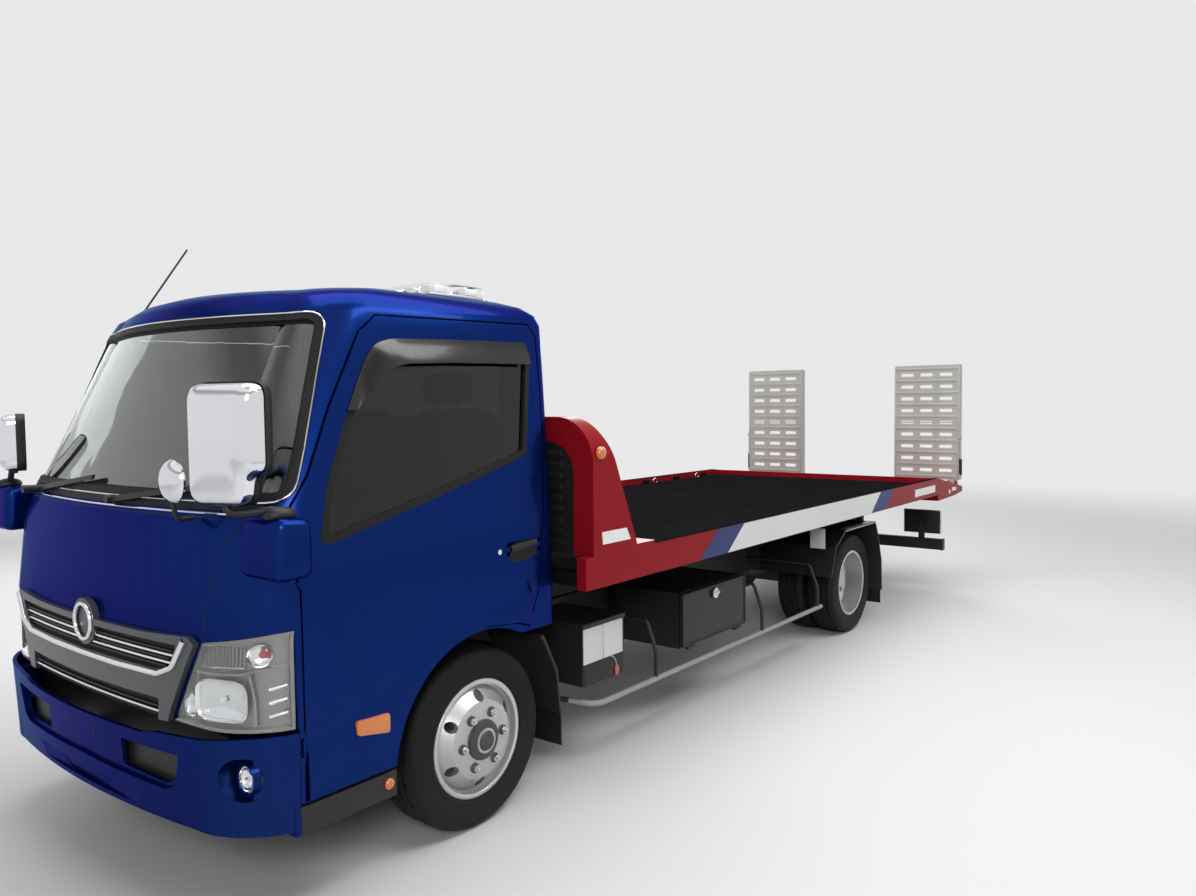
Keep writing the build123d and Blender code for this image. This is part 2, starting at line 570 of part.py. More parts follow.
def build_running_gear():
    def spring(axle_x, span, z_mid, z_end, y):
        t = 34
        arc = [
            ThreePointArc((axle_x - span, z_end), (axle_x, z_mid), (axle_x + span, z_end)),
            Line((axle_x + span, z_end), (axle_x + span, z_end + t)),
            ThreePointArc((axle_x + span, z_end + t), (axle_x, z_mid + t), (axle_x - span, z_end + t)),
            Line((axle_x - span, z_end + t), (axle_x - span, z_end)),
        ]
        leaf = extrude(make_face(arc), amount=60)
        leaf = Pos(0, y + 30, 0) * (Rot(90, 0, 0) * leaf)
        for end in (-1, 1):
            ex = axle_x + end * span
            leaf += block((ex - 35, ex + 35), (y - 30, y + 30), (z_end, RAIL_Z[0]))
        return leaf

    # Front axle with its springs and kingpins
    z0, z1 = BEAM_Z
    beam = block((FA - 38, FA + 38), (-KINGPIN_Y, KINGPIN_Y), (z0, z1))
    beam -= block((FA + 14, FA + 60), (-KINGPIN_Y + 70, KINGPIN_Y - 70), (z0 + 14, z1 - 14))
    beam -= block((FA - 60, FA - 14), (-KINGPIN_Y + 70, KINGPIN_Y - 70), (z0 + 14, z1 - 14))
    for s in (1, -1):
        beam += rod((FA, s * KINGPIN_Y, z0), (FA, s * KINGPIN_Y, z1), STEER_EYE_R)
        beam += rod((FA, s * KINGPIN_Y, z0 - 36), (FA, s * KINGPIN_Y, z1 + 36), KINGPIN_R)
        beam += spring(FA, 560, z1, 452, s * SPRING_Y)
        beam += block((FA - 60, FA + 60), (s * SPRING_Y - 34, s * SPRING_Y + 34), (z1 - 10, z1 + 40))
    node("front_axle", beam)

    # Steering knuckles with the wheel spindles
    for name, s in (("left", 1), ("right", -1)):
        ky = s * KINGPIN_Y
        top = rod((FA, ky, z1 + MOVE_GAP), (FA, ky, z1 + 28), STEER_EYE_R)
        low = rod((FA, ky, z0 - 28), (FA, ky, z0 - MOVE_GAP), STEER_EYE_R)
        near, far = ky + s * (STEER_EYE_R + MOVE_GAP), ky + s * (STEER_EYE_R + 22)
        knuckle = top + low + block((FA - 26, FA + 26), (near, far), (z0 - 28, z1 + 28))
        for z in ((z1 + MOVE_GAP, z1 + 28), (z0 - 28, z0 - MOVE_GAP)):
            knuckle += block((FA - 26, FA + 26), (ky, far), z)
        knuckle -= rod((FA, ky, z0 - 60), (FA, ky, z1 + 60), KINGPIN_R + PIN_FIT)
        knuckle += disc_y(FA, TYRE_R, (ky + s * (STEER_EYE_R + 10), s * (FRONT_TYRE_Y + 45)), SPINDLE_R)
        knuckle += disc_y(FA, TYRE_R, (ky + s * (STEER_EYE_R + 8), ky + s * (STEER_EYE_R + 34)), 52)
        node("steering_knuckle_" + name, knuckle)

    # Rear axle
    axle = disc_y(RA, TYRE_R, (-470, 470), 55)
    axle += disc_y(RA, TYRE_R, (-REAR_TYRE_Y[0] + 80, REAR_TYRE_Y[0] - 80), SPINDLE_R)
    axle += Pos(RA, 0, TYRE_R) * Sphere(150)
    axle += rod((RA + 120, 0, TYRE_R + 6), (RA + 250, 0, TYRE_R + 6), 55)
    for s in (1, -1):
        axle += spring(RA, 560, 428, 458, s * SPRING_Y)
        axle += block((RA - 60, RA + 60), (s * SPRING_Y - 34, s * SPRING_Y + 34), (TYRE_R, 462))
    node("rear_axle", axle)

    # Wheels
    def tyre(y):
        h = TYRE_W / 2
        half = [(RIM_R - 4, h - 18.3), (RIM_R + 6, h - 18.3), (RIM_R + 8, h - 6), (RIM_R + 40, h),
                (TYRE_R - 34, h - 2), (TYRE_R - 6, h - 22), (TYRE_R, h - 52)]
        points = [(r, y + z) for r, z in half] + [(r, y - z) for r, z in reversed(half)]
        return revolve(make_face(Polyline(*points, close=True)), Axis.Y)

    def rim(flip, hub_in, hub_out, bore):
        # Axis along Z, outboard up; the mounting face lies WHEEL_OFFSET from the tyre's centre
        h = TYRE_W / 2 - 10
        t = RIM_WALL
        r = RIM_R - 4
        half = [(RIM_R + 4, h), (RIM_R + 4, h - 8), (r, h - 8)]
        section = [(r - t, h)] + half + [(q, -z) for q, z in reversed(half)] + [(r - t, -h)]
        barrel = revolve(Plane.XZ * make_face(Polyline(*section, close=True)), Axis.Z)
        f = WHEEL_OFFSET
        dish = [(20, f - DISC_T), (128, f - DISC_T), (150, f - DISC_T - 8), (205, h - 48), (r - t + 3, h - 52),
                (r - t + 3, h - 28), (212, h - 28), (158, f - 4), (140, f), (20, f)]
        disc = revolve(Plane.XZ * make_face(Polyline(*dish, close=True)), Axis.Z)
        for k in range(VENT_HOLES):
            angle = 360 / VENT_HOLES * (k + 0.5)
            disc -= Rot(0, 0, angle) * (Pos(VENT_R, 0, f - 40) * Cylinder(VENT_HOLE_R, 120))
        body = barrel + disc
        if flip:
            body = Rot(180, 0, 0) * body
        for low, high, radius in (hub_in, hub_out):
            body += rod((0, 0, low), (0, 0, high), radius)
        return body - rod((0, 0, bore[0]), (0, 0, bore[1]), SPINDLE_R + PIN_FIT)

    for name, s in (("left", 1), ("right", -1)):
        turn = Rot(-90 * s, 0, 0)
        f = WHEEL_OFFSET
        node("tyre_front_" + name, Pos(FA, 0, TYRE_R) * tyre(s * FRONT_TYRE_Y))
        front = rim(False, (-38, f, 72), (f, f + 22, 50), (-40, 48))
        node("rim_front_" + name, Pos(FA, s * FRONT_TYRE_Y, TYRE_R) * (turn * front))
        node("tyres_rear_" + name, [Pos(RA, 0, TYRE_R) * tyre(s * y) for y in REAR_TYRE_Y])
        outer = rim(True, (-f, -f + 4, 72), (-f, -f + 62, 62), (-f - 1, -f + 44))
        inner = rim(False, (-14, f, 72), (f - 1, f, 62), (-15, f + 1))
        outer = Pos(RA, s * REAR_TYRE_Y[0], TYRE_R) * (turn * outer)
        inner = Pos(RA, s * REAR_TYRE_Y[1], TYRE_R) * (turn * inner)
        node("rims_rear_" + name, outer + inner)

    # Propeller shaft in two pieces, on the cross member between them
    bearing_x = RA + 910
    shaft = pipe([(FA - 958, 0, 512), (bearing_x, 0, 490), (RA + 268, 0, TYRE_R + 6)], 38)
    shaft += rod((FA - 940, 0, 512), (FA - 975, 0, 512), 50)
    shaft += rod((RA + 250, 0, TYRE_R + 6), (RA + 285, 0, TYRE_R + 6), 50)
    shaft += block((bearing_x - 40, bearing_x + 40), (-60, 60), (470, CROSS_Z[0]))
    node("drive_shaft", shaft)


def build_underbody():
    engine = block((FA - 350, FA + 520), (-270, 270), (430, 985))
    engine += block((FA - 940, FA - 350), (-150, 150), (455, 690))
    for s in (-1, 1):
        engine += block((FA + 60, FA + 150), (s * 260, s * (RAIL_OUT_Y - RAIL_WALL)), (560, 620))
    node("engine", engine)

    tank = block((FA - 2240, FA - 1560), (-900, -490), (390, 690))
    tank = fillet(tank.edges().filter_by(Axis.X), 40)
    for x in (-2100, -1700):
        tank += block((FA + x - 25, FA + x + 25), (-500, -RAIL_OUT_Y), (560, 640))
    node("fuel_tank", tank)

    box = block((FA - 1000, FA - 676), (560, 950), (400, 690))
    box = fillet(box.edges().filter_by(Axis.Z), 12)
    box += block((FA - 930, FA - 750), (RAIL_OUT_Y, 565), (520, 600))
    node("battery_box", box)

    # Toolbox: open side towards +Y, closed by a drop-down door
    x0, x1, y0, y1, z0, z1 = FA - 2225, FA - 1526, 500, 950, 388, 690
    t = 4
    tool = block((x0, x1), (y0, y1 - 22), (z0, z1)) - block((x0 + t, x1 - t), (y0 + t, y1), (z0 + t, z1 - t))
    tool += block((x0 + 60, x1 - 60), (RAIL_OUT_Y, y0 + 2), (560, 640))
    hinge = (y1 - 8, z0 - 2)
    for x in (x0 + 90, x1 - 90):
        tool += rod((x - 24, hinge[0], hinge[1]), (x + 24, hinge[0], hinge[1]), 6)
        for k in (-1, 1):
            a = x + k * 30
            tool += block((a - 6, a + 6), (y1 - 60, hinge[0]), (z0 - 8, z0 + 4))
            tool += rod((a - 6, *hinge), (a + 6, *hinge), 10)
    node("toolbox", tool)
    door = block((x0, x1), (y1 - 16, y1), (z0 + 13, z1 - 4))
    door += block((x1 - 380, x1 - 300), (y1 - 4, y1 + 10), (z1 - 70, z1 - 30))
    for x in (x0 + 90, x1 - 90):
        door += rod((x - 22, *hinge), (x + 22, *hinge), 11)
        door += block((x - 22, x + 22), (y1 - 12, y1 - 4), (z0 - 2, z0 + 20))
        door -= rod((x - 23, *hinge), (x + 23, *hinge), 6 + PIN_FIT)
    node("toolbox_door", door)

    # Bumper: a thin shell that follows the plan curve, with the step sills behind it
    upper = (-300, 996, 858, (990, 912), (1078, 740), 1142)
    lower = (-300, 994, 858, (982, 906), (1062, 700), 1112)

    def bumper_form(inset, spare=0):
        low_wire = cab_section((BUMPER_Z[0] - spare, *lower), inset)
        return Solid.make_loft([low_wire, cab_section((BUMPER_Z[1] + spare, *upper), inset)], True)

    def hollow_form(depth):
        return bumper_form(depth) - bumper_form(depth + BUMPER_T, 20)

    reach = (FA + 700, FA + 1300)
    bumper = hollow_form(0) - prism_x(mirrored(BUMPER_RECESS), reach)
    bumper += hollow_form(RECESS_DEPTH) & prism_x(mirrored(BUMPER_RECESS), reach, grow=8)
    bumper &= block((FA + 858, FA + 1300), (-1200, 1200), (300, 700))
    high = BUMPER_Z[1] + 60
    above = [(0, high), *BUMPER_EDGE, (1100, high)]
    for s in (-1, 1):
        bumper -= prism_x([(s * y, z) for y, z in above], reach)
        bumper -= prism_x([(s * y, z) for y, z in BUMPER_SLOT], (FA + 900, FA + 1300), radius=8)
        fy, fz = s * FOG_C[0], FOG_C[1]
        bumper += rod((FOG_FLOOR_X - BUMPER_T, fy, fz), (FA + 1200, fy, fz), FOG_RECESS_R + 5) & bumper_form(4)
        bumper -= rod((FOG_FLOOR_X, fy, fz), (FA + 1300, fy, fz), FOG_RECESS_R)
        bumper -= rod((FA + 850, fy, fz), (FA + 1300, fy, fz), FOG_R + SEAT_FIT)
    bumper -= block((FA + 1100, FA + 1300), (-500, 500), (348, 400))
    for s in (1, -1):
        y = sorted((s * (RAIL_OUT_Y - 45), s * (RAIL_OUT_Y - 15)))
        arm = [(612, RAIL_Z[0]), (612, 420), (700, 350), (1092, 350), (1092, 432), (780, 432),
               (690, RAIL_Z[0])]
        bumper += prism_y(shift(arm), y)
        bumper += block((FA + 770, FA + 830), (s * (RAIL_OUT_Y - 20), s * 710), (345, 395))
        sill = block((FA + 462, FA + 876), (s * 700, s * 990), (312, 402))
        sill -= block((FA + 490, FA + 840), (s * 740, s * 975), (380, 410))
        bumper += sill
    node("front_bumper", bumper)
    # Fog lamps: round bodies with a crowned lens, at the bottom of their wells
    fog = []
    for s in (-1, 1):
        fy, fz = s * FOG_C[0], FOG_C[1]
        lamp = rod((FOG_FLOOR_X - 26, fy, fz), (FOG_FLOOR_X + 20, fy, fz), FOG_R)
        fog.append(fillet(lamp.edges().group_by(Axis.X)[-1], 18))
    node("fog_lamps", fog)

    guards = []
    for s in (-1, 1):
        path = [(-345, 700), (-352, 708), (-440, 540), (-462, 345), (-474, 345), (-452, 545), (-360, 722),
                (-345, 718)]
        g = prism_y(shift(path), (s * 640, s * 985))
        g += block((FA - 470, FA - 440), (s * RAIL_OUT_Y, s * 645), (560, 600))
        g += block((FA - 470, FA - 440), (s * 640, s * 700), (545, 600))
        guards.append(g)
    node("front_mudguards", guards)

    guards = []
    for s in (-1, 1):
        outer = [(555, 500), (475, 700), (310, 800), (-270, 800), (-330, 690), (-398, 489), (-408, 255)]
        inner = [(-396, 255), (-387, 487), (-319, 684), (-262, 788), (304, 788), (465, 693), (543, 500)]
        g = prism_y([(RA + x, z) for x, z in outer + inner], (s * 472, s * 1025))
        for x in (460, -350):
            g += block((RA + x - 20, RA + x + 20), (s * RAIL_OUT_Y, s * 480), (600, 660))
        guards.append(g)
    node("rear_mudguards", guards)

    guards = []
    for s in (-1, 1):
        tube = pipe([(FA - 640, s * 720, 330), (FA - 760, s * 960, 300), (RA + 580, s * 960, 300)], 13, 90)
        for x in (FA - 1260, RA + 1450, RA + 640):
            post = [(x, s * 960, 300), (x, s * 960, 440), (x, s * 900, 600), (x, s * RAIL_OUT_Y, 600)]
            tube += pipe(post, 11, 50)
        guards.append(tube)
    node("side_guards", guards)

    beam = block((TAIL + 240, TAIL + 300), (-1000, 1000), (344, 444))
    beam = fillet(beam.edges().filter_by(Axis.Y), 12)
    for s in (1, -1):
        arm = [(950, RAIL_Z[0]), (950, 430), (450, 360), (290, 360), (290, 430), (450, 430), (771, RAIL_Z[0])]
        beam += prism_y([(TAIL + x, z) for x, z in arm], (s * (RAIL_OUT_Y - 60), s * (RAIL_OUT_Y - 25)))
        beam += block((TAIL + 255, TAIL + 285), (s * 780, s * 830), (440, 600))
    node("rear_bumper", beam)
    lamps = [block((TAIL + 230, TAIL + 255), (s * 643, s * 966), (490, 700)) for s in (-1, 1)]
    node("tail_lamps", lamps)

    z = 455
    down_pipe = [(-280, -290), (-280, -325), (-640, -325), (-760, -580), (-880, -580)]
    exhaust = pipe([(FA + x, y, z) for x, y in down_pipe], 26, 34)
    exhaust += disc_y(FA - 280, z, (-312, -270), 30)
    exhaust += rod((FA - 1250, -580, z), (FA - 820, -580, z), 85)
    exhaust += pipe([(FA - 1240, -580, z), (FA - 1400, -580, z), (FA - 1400, -900, z - 15)], 24)
    exhaust += block((FA - 1100, FA - 1060), (-560, -RAIL_OUT_Y), (520, 560))
    node("exhaust", exhaust)


def build_tilt():
    tx, tz = TILT_PIVOT
    z0, z1 = TILT_RAIL_Z
    frame = None
    for s in (1, -1):
        y = (s * RUNNER_Y[0], s * RUNNER_Y[1])
        rail = block((RAIL_REAR_X, FA - 760), y, (z0, z1))
        open_y = (s * (RUNNER_Y[0] - 10), s * (RUNNER_Y[1] - RAIL_WALL))
        rail -= block((RAIL_REAR_X - 10, FA - 750), open_y, (z0 + RAIL_WALL, z1 - RAIL_WALL))
        frame = rail if frame is None else frame + rail
    lift_cross = RA + 940
    ux, uz = LIFT_TOP
    plate = [(ux + 34, uz - 34), (ux + 34, uz + 34), (ux - 90, uz + 34), (lift_cross + 25, TILT_CROSS_Z[1]),
             (lift_cross + 25, TILT_CROSS_Z[0]), (ux - 60, TILT_CROSS_Z[0] - 14)]
    for x in (FA - 800, FA - 1600, lift_cross, RA + 520, RA - 330, TAIL + 900):
        frame += block((x - 30, x + 30), (-RUNNER_Y[1] + 8, RUNNER_Y[1] - 8), TILT_CROSS_Z)
    for s in (1, -1):
        y = (s * (RAIL_OUT_Y + MOVE_GAP), s * (RAIL_OUT_Y + MOVE_GAP + 18))
        ear = disc_y(tx, tz, y, 46) + block((tx - 46, tx + 46), y, (tz, z0 + 10))
        ear -= disc_y(tx, tz, (s * 300, s * 600), TILT_PIN_R + PIN_FIT)
        frame += ear
        pads = (FA - 1500, TAIL + 830)
        for k in range(5):
            x = pads[0] + (pads[1] - pads[0]) * k / 4
            y = (s * (RUNNER_Y[0] + 5), s * (RUNNER_Y[1] - 5))
            frame += block((x - 50, x + 50), y, (z1, RUNNER_Z[0] - SEAT_FIT))
        for k in (-1, 1):
            yy = sorted((s * LIFT_Y + k * (LIFT_EYE_HALF + SEAT_FIT), s * LIFT_Y + k * (LIFT_EYE_HALF + 12)))
            frame += prism_y(plate, yy)
    node("tilt_frame", frame)

    # Lift cylinders
    lx, lz = LIFT_LOW
    length = hypot(ux - lx, uz - lz)
    dx, dz = (ux - lx) / length, (uz - lz) / length

    def along(t):
        return lx + dx * t, lz + dz * t

    barrels, rods = [], []
    for s in (1, -1):
        y = s * LIFT_Y
        a, b = along(20), along(LIFT_BARREL_L)
        barrel = rod((a[0], y, a[1]), (b[0], y, b[1]), LIFT_BARREL_R)
        barrel += disc_y(lx, lz, (y - LIFT_EYE_HALF, y + LIFT_EYE_HALF), LIFT_EYE_R)
        barrel &= block((lx - 2000, lx + 200), (y - LIFT_BARREL_R, y + LIFT_BARREL_R), (0, 2000))
        a, b = along(100), along(LIFT_BARREL_L + 10)
        barrel -= rod((a[0], y, a[1]), (b[0], y, b[1]), LIFT_ROD_R + PIN_FIT)
        barrel -= disc_y(lx, lz, (y - 60, y + 60), LIFT_PIN_R + PIN_FIT)
        # Flats beside the lower eye, so that the barrel fits between its mount's plates
        for k in (-1, 1):
            barrel -= block((lx - 60, lx + 60), (y + k * LIFT_EYE_HALF, y + k * 80), (lz - 80, lz + 80))
        barrels.append(barrel)
        a, b = along(110), along(length - 10)
        eye = disc_y(ux, uz, (y - LIFT_EYE_HALF, y + LIFT_EYE_HALF), LIFT_EYE_R)
        rods.append(rod((a[0], y, a[1]), (b[0], y, b[1]), LIFT_ROD_R) + eye)
    node("lift_barrels", barrels)
    node("lift_rods", rods)

    # Slide cylinder over the tilt frame's cross members
    z = SLIDE_Z
    barrel = rod((FA - 840, 0, z), (RA + 540, 0, z), SLIDE_BARREL_R)
    for x in (FA - 1600, lift_cross):
        barrel += block((x - 25, x + 25), (-30, 30), (TILT_CROSS_Z[1], z))
    barrel -= rod((FA - 900, 0, z), (RA + 530, 0, z), SLIDE_ROD_R + PIN_FIT)
    node("slide_barrel", barrel)
    ram = rod((FA - 960, 0, z), (RA + 400, 0, z), SLIDE_ROD_R)
    ram += block((RA + 370, RA + 430), (-40, 40), (z - 32, SIDE_RAIL_Z[0]))
    node("slide_rod", ram)


def build_tray():
    x0, x1 = TRAY_X[1], TRAY_X[0]
    inner = TRAY_HALF - RAIL_SIDE_T
    # The winch's bay in front lies a little lower than the loading floor
    bay_z = DECK_Z[1] - BAY_STEP
    deck = block((x0, FA + BAY_X), (-inner, inner), DECK_Z)
    deck += block((FA + BAY_X, x1 - 30), (-inner, inner), (DECK_Z[0], bay_z))
    count = 12
    step = (x1 - 130 - x0) / count
    for k in range(count + 1):
        x = x0 + 40 + k * step
        deck += block((x - 25, x + 25), (-inner, inner), (SIDE_RAIL_Z[0], DECK_Z[0]))
    for s in (1, -1):
        deck += block((x0, FA - 700), (s * RUNNER_Y[0], s * RUNNER_Y[1]), RUNNER_Z)
    node("tray_deck", deck)

    rails = []
    for s in (1, -1):
        rails.append(block((x0, x1), (s * inner, s * TRAY_HALF), SIDE_RAIL_Z))
    node("side_rails", rails)

    # Sloping tail, a closed top and sides with an open underside
    skin_t, end_t, keel_x = 12, 40, TAIL_END_X + 218
    wedge = [(x0, 851), (x0, SIDE_RAIL_Z[1]), (TAIL_END_X, 925), (TAIL_END_X, 880), (keel_x, 861)]
    tail = prism_y(wedge, (-TRAY_HALF, TRAY_HALF))
    hollow = [(x0 - skin_t, 800), (x0 - skin_t, 1028), (TAIL_END_X + end_t, 912), (TAIL_END_X + end_t, 800)]
    tail -= prism_y(hollow, (-TRAY_HALF + skin_t, TRAY_HALF - skin_t))
    rib = [(x0 - 6, 860), (x0 - 6, 1036), (TAIL_END_X + 20, 918), (TAIL_END_X + 20, 882), (keel_x, 866)]
    for y in (-TRAY_HALF / 2, 0, TRAY_HALF / 2):
        tail += prism_y(rib, (y - 6, y + 6))
    px, pz = RAMP_PIN
    for s in (1, -1):
        for y in (RAMP_Y[0] + 60, RAMP_Y[1] - 60):
            for k in (-1, 1):
                yy = sorted((s * y + k * (24 + MOVE_GAP), s * y + k * 44))
                lug = disc_y(px, pz, yy, 24) + block((px, TAIL_END_X + 4), yy, (pz - 56, pz))
                tail += lug
            tail += disc_y(px, pz, (s * y - 44, s * y + 44), RAMP_PIN_R)
    node("tray_tail", tail)

    # Ramps, standing upright on their hinges
    for name, s in (("left", 1), ("right", -1)):
        y0, y1 = RAMP_Y
        z0, z1 = RAMP_Z
        front = px + 22
        plate = block((front - 8, front), (s * y0, s * y1), (z0, z1))
        rows = (z1 - z0 - 60) / RAMP_ROWS
        cols = (y1 - y0 - 60) / RAMP_COLUMNS
        for r in range(RAMP_ROWS):
            for c in range(RAMP_COLUMNS):
                cz, cy = z0 + 30 + rows * (r + 0.5), y0 + 30 + cols * (c + 0.5)
                y = (s * (cy - cols * 0.32), s * (cy + cols * 0.32))
                plate -= block((front - 20, front + 10), y, (cz - 15, cz + 15))
        ramp = plate
        back = TAIL
        for a, b in ((y0, y0 + 12), (y1 - 12, y1)):
            ramp += block((back, front), (s * a, s * b), (z0, z1))
        for z in (z0 + 6, (z0 + z1) / 2, z1 - 6):
            ramp += block((back + 12, front), (s * y0, s * y1), (z - 6, z + 6))
        for y in (y0 + 60, y1 - 60):
            yy = (s * y - 24, s * y + 24)
            ear = disc_y(px, pz, yy, 20) + block((px - 20, front), yy, (pz, z0 + 10))
            ear -= disc_y(px, pz, (s * y - 30, s * y + 30), RAMP_PIN_R + PIN_FIT)
            ramp += ear
        strut_y = s * (y1 + 11)
        ramp += rod((px + 4, strut_y, z0 + 40), (px + 4, strut_y, z0 + 400), 7)
        for z in (z0 + 40, z0 + 400):
            ramp += block((px - 8, px + 16), (s * (y1 - 4), s * (y1 + 20)), (z - 14, z + 14))
        node("ramp_" + name, ramp)

    # Headboard: a rounded hoop of box section, deeper at its feet, with two posts and a low beam
    front, rear = HOOP_X
    out, band, top = TRAY_HALF, HOOP_BAND, HOOP_Z
    full = RectangleRounded(2 * out, 2 * top, HOOP_CORNER_R)
    hole = RectangleRounded(2 * (out - band), 2 * (top - band), HOOP_CORNER_R - band * 0.6)
    hoop = Pos(rear, 0, 0) * (Rot(0, 0, 90) * (Rot(90, 0, 0) * extrude(full - hole, amount=front - rear)))
    side = [(front, SIDE_RAIL_Z[1]), (front - 6, top + 10), (front - 96, top + 10), (front - 123, 1570),
            (front - 299, 1142), (front - 330, HOOP_FOOT_Z), (rear, HOOP_FOOT_Z), (rear, SIDE_RAIL_Z[1])]
    board = hoop & prism_y(side, (-out - 10, out + 10))
    for z in (1340, 1110):
        board += block((front - 54, front - 10), (-out + 40, out - 40), (z - 22, z + 22))
    for y in (-out / 3, out / 3):
        board += block((front - 49, front - 15), (y - 20, y + 20), (bay_z, top - band + 20))
    node("headboard", board)

    # Winch
    dx, dz = FA + DRUM_C[0], DRUM_C[1]
    winch = block((dx - 110, dx + 110), (-260, 260), (bay_z, bay_z + 12))
    cheek = [(dx - 90, bay_z), (dx + 90, bay_z), (dx + 60, dz + 80), (dx - 60, dz + 80)]
    for s in (1, -1):
        winch += prism_y(cheek, (s * (DRUM_HALF + 16), s * (DRUM_HALF + 34)))
    winch += disc_y(dx, dz, (DRUM_HALF + 30, DRUM_HALF + 110), 80)
    winch += disc_y(dx, dz, (-DRUM_HALF - 160, -DRUM_HALF - 30), 55)
    winch -= disc_y(dx, dz, (-DRUM_HALF - 36, DRUM_HALF + 36), DRUM_SHAFT_R + PIN_FIT)
    node("winch", winch)
    drum = disc_y(dx, dz, (-DRUM_HALF, DRUM_HALF), DRUM_R)
    for s in (1, -1):
        drum += disc_y(dx, dz, (s * (DRUM_HALF - 8), s * DRUM_HALF), DRUM_FLANGE_R)
    drum += disc_y(dx, dz, (-DRUM_HALF - 34, DRUM_HALF + 34), DRUM_SHAFT_R)
    node("winch_drum", drum)


build_cab()
build_cab_fittings()
build_chassis()
build_running_gear()
build_underbody()
build_tilt()
build_tray()

for name, shape in NODES.items():
    export_step(shape, f"parts/{name}.step")
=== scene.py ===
import json
import math
import bmesh
import bpy
from mathutils import Matrix, Vector
from mathutils.bvhtree import BVHTree
from mathutils.interpolate import poly_3d_calc


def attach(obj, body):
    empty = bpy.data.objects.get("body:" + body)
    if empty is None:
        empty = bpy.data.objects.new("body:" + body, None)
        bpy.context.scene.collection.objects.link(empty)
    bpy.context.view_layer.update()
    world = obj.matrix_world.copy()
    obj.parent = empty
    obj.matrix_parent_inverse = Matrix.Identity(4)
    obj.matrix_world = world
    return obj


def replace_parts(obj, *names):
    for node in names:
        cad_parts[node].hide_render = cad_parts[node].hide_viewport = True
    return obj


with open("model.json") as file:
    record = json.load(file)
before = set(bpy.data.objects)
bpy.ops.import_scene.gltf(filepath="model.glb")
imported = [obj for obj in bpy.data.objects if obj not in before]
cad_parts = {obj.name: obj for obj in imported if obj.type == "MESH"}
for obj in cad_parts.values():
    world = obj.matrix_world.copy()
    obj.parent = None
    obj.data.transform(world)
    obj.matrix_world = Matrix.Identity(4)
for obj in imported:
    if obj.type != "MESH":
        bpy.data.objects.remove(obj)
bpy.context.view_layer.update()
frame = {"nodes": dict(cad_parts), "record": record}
NODES = frame["nodes"]
SLOT_OF = {part["node"]: part["material_slot"] for part in frame["record"]["subparts"]}

# Places in metres: +X forward, +Y the driver's left, zero height on the ground
FRONT_AXLE = 2.5
REAR_AXLE = -1.37
TAIL = -3.65
TYRE_R = 0.367
WHEEL_Y = 0.850
INNER_WHEEL_Y = 0.614
RAIL_FACE = 1.1202
MARK_FACE = 1.1203
SIDES = (("left", 1), ("right", -1))

# Camera, light and floor

CAMERA_AT = (5.039, 3.543, 1.714)
CAMERA_YAW, CAMERA_PITCH, CAMERA_ROLL = (math.radians(a) for a in (217.795, -2.773, -0.672))
CAMERA_LENS = 27.16
# Name, place, aim, size, power, and whether it shows in paint and glass
LIGHTS = (
    ("overhead", (0.5, 0.5, 7.5), (0, 0, 0), (9, 5), 430, True),
    ("front_left", (8.5, 6.5, 4.6), (1.2, 0, 1.0), (3.5, 2.5), 300, True),
    ("side", (0.3, 5.0, 7.0), (-0.8, 0, 0.9), (8, 1.6), 260, True),
    ("behind", (-8.0, -4.5, 4.5), (-1, 0, 1), (4, 4), 260, True),
    ("far_side", (2.0, -8.0, 4.0), (0, 0, 1), (6, 3), 200, False),
)
# Grey by height above the horizon: the light itself, and what the camera, metal and glass see, which is
# plain and pale as far up as the camera looks, with a ceiling and a bright strip above that
LIGHT_STOPS = ((0.0, 0.42), (0.50, 0.31), (0.56, 0.65), (1.0, 0.83))
SEEN_STOPS = ((0.0, 0.81), (0.47, 0.81), (0.56, 0.42), (0.62, 0.40), (0.69, 0.92), (0.86, 0.95), (1.0, 0.45))
LIGHT_STRENGTH = 0.40
BACKDROP = (0.81, 0.81, 0.818, 1)
FLOOR_FADE = (4.5, 15.0)


def put(tree, socket, value):
    # A socket takes another node's output or a plain value
    if isinstance(value, bpy.types.NodeSocket):
        tree.links.new(value, socket)
    else:
        socket.default_value = value


def add_node(tree, kind, inputs=(), **settings):
    made = tree.nodes.new("ShaderNode" + kind)
    for key, value in settings.items():
        setattr(made, key, value)
    for label, value in dict(inputs).items():
        put(tree, made.inputs[label], value)
    return made


def maths(tree, operation, a, b=None, clamp=False):
    made = add_node(tree, "Math", operation=operation, use_clamp=clamp)
    put(tree, made.inputs[0], a)
    if b is not None:
        put(tree, made.inputs[1], b)
    return made.outputs[0]


def noise(tree, place, scale, detail=4, rough=0.55):
    given = {"Vector": place, "Scale": scale, "Detail": detail, "Roughness": rough}
    return add_node(tree, "TexNoise", given).outputs["Fac"]


def make_camera():
    yaw, pitch, roll = CAMERA_YAW, CAMERA_PITCH, CAMERA_ROLL
    ahead = Vector((math.cos(yaw) * math.cos(pitch), math.sin(yaw) * math.cos(pitch), math.sin(pitch)))
    level = Vector((math.sin(yaw), -math.cos(yaw), 0))
    upright = level.cross(ahead)
    right = level * math.cos(roll) + upright * math.sin(roll)
    up = upright * math.cos(roll) - level * math.sin(roll)
    data = bpy.data.cameras.new("camera")
    data.lens = CAMERA_LENS
    data.sensor_width = 36
    data.clip_end = 200
    camera = bpy.data.objects.new("camera", data)
    bpy.context.scene.collection.objects.link(camera)
    turn = Matrix((right, up, -ahead)).transposed().to_4x4()
    camera.matrix_world = Matrix.Translation(CAMERA_AT) @ turn
    bpy.context.scene.camera = camera


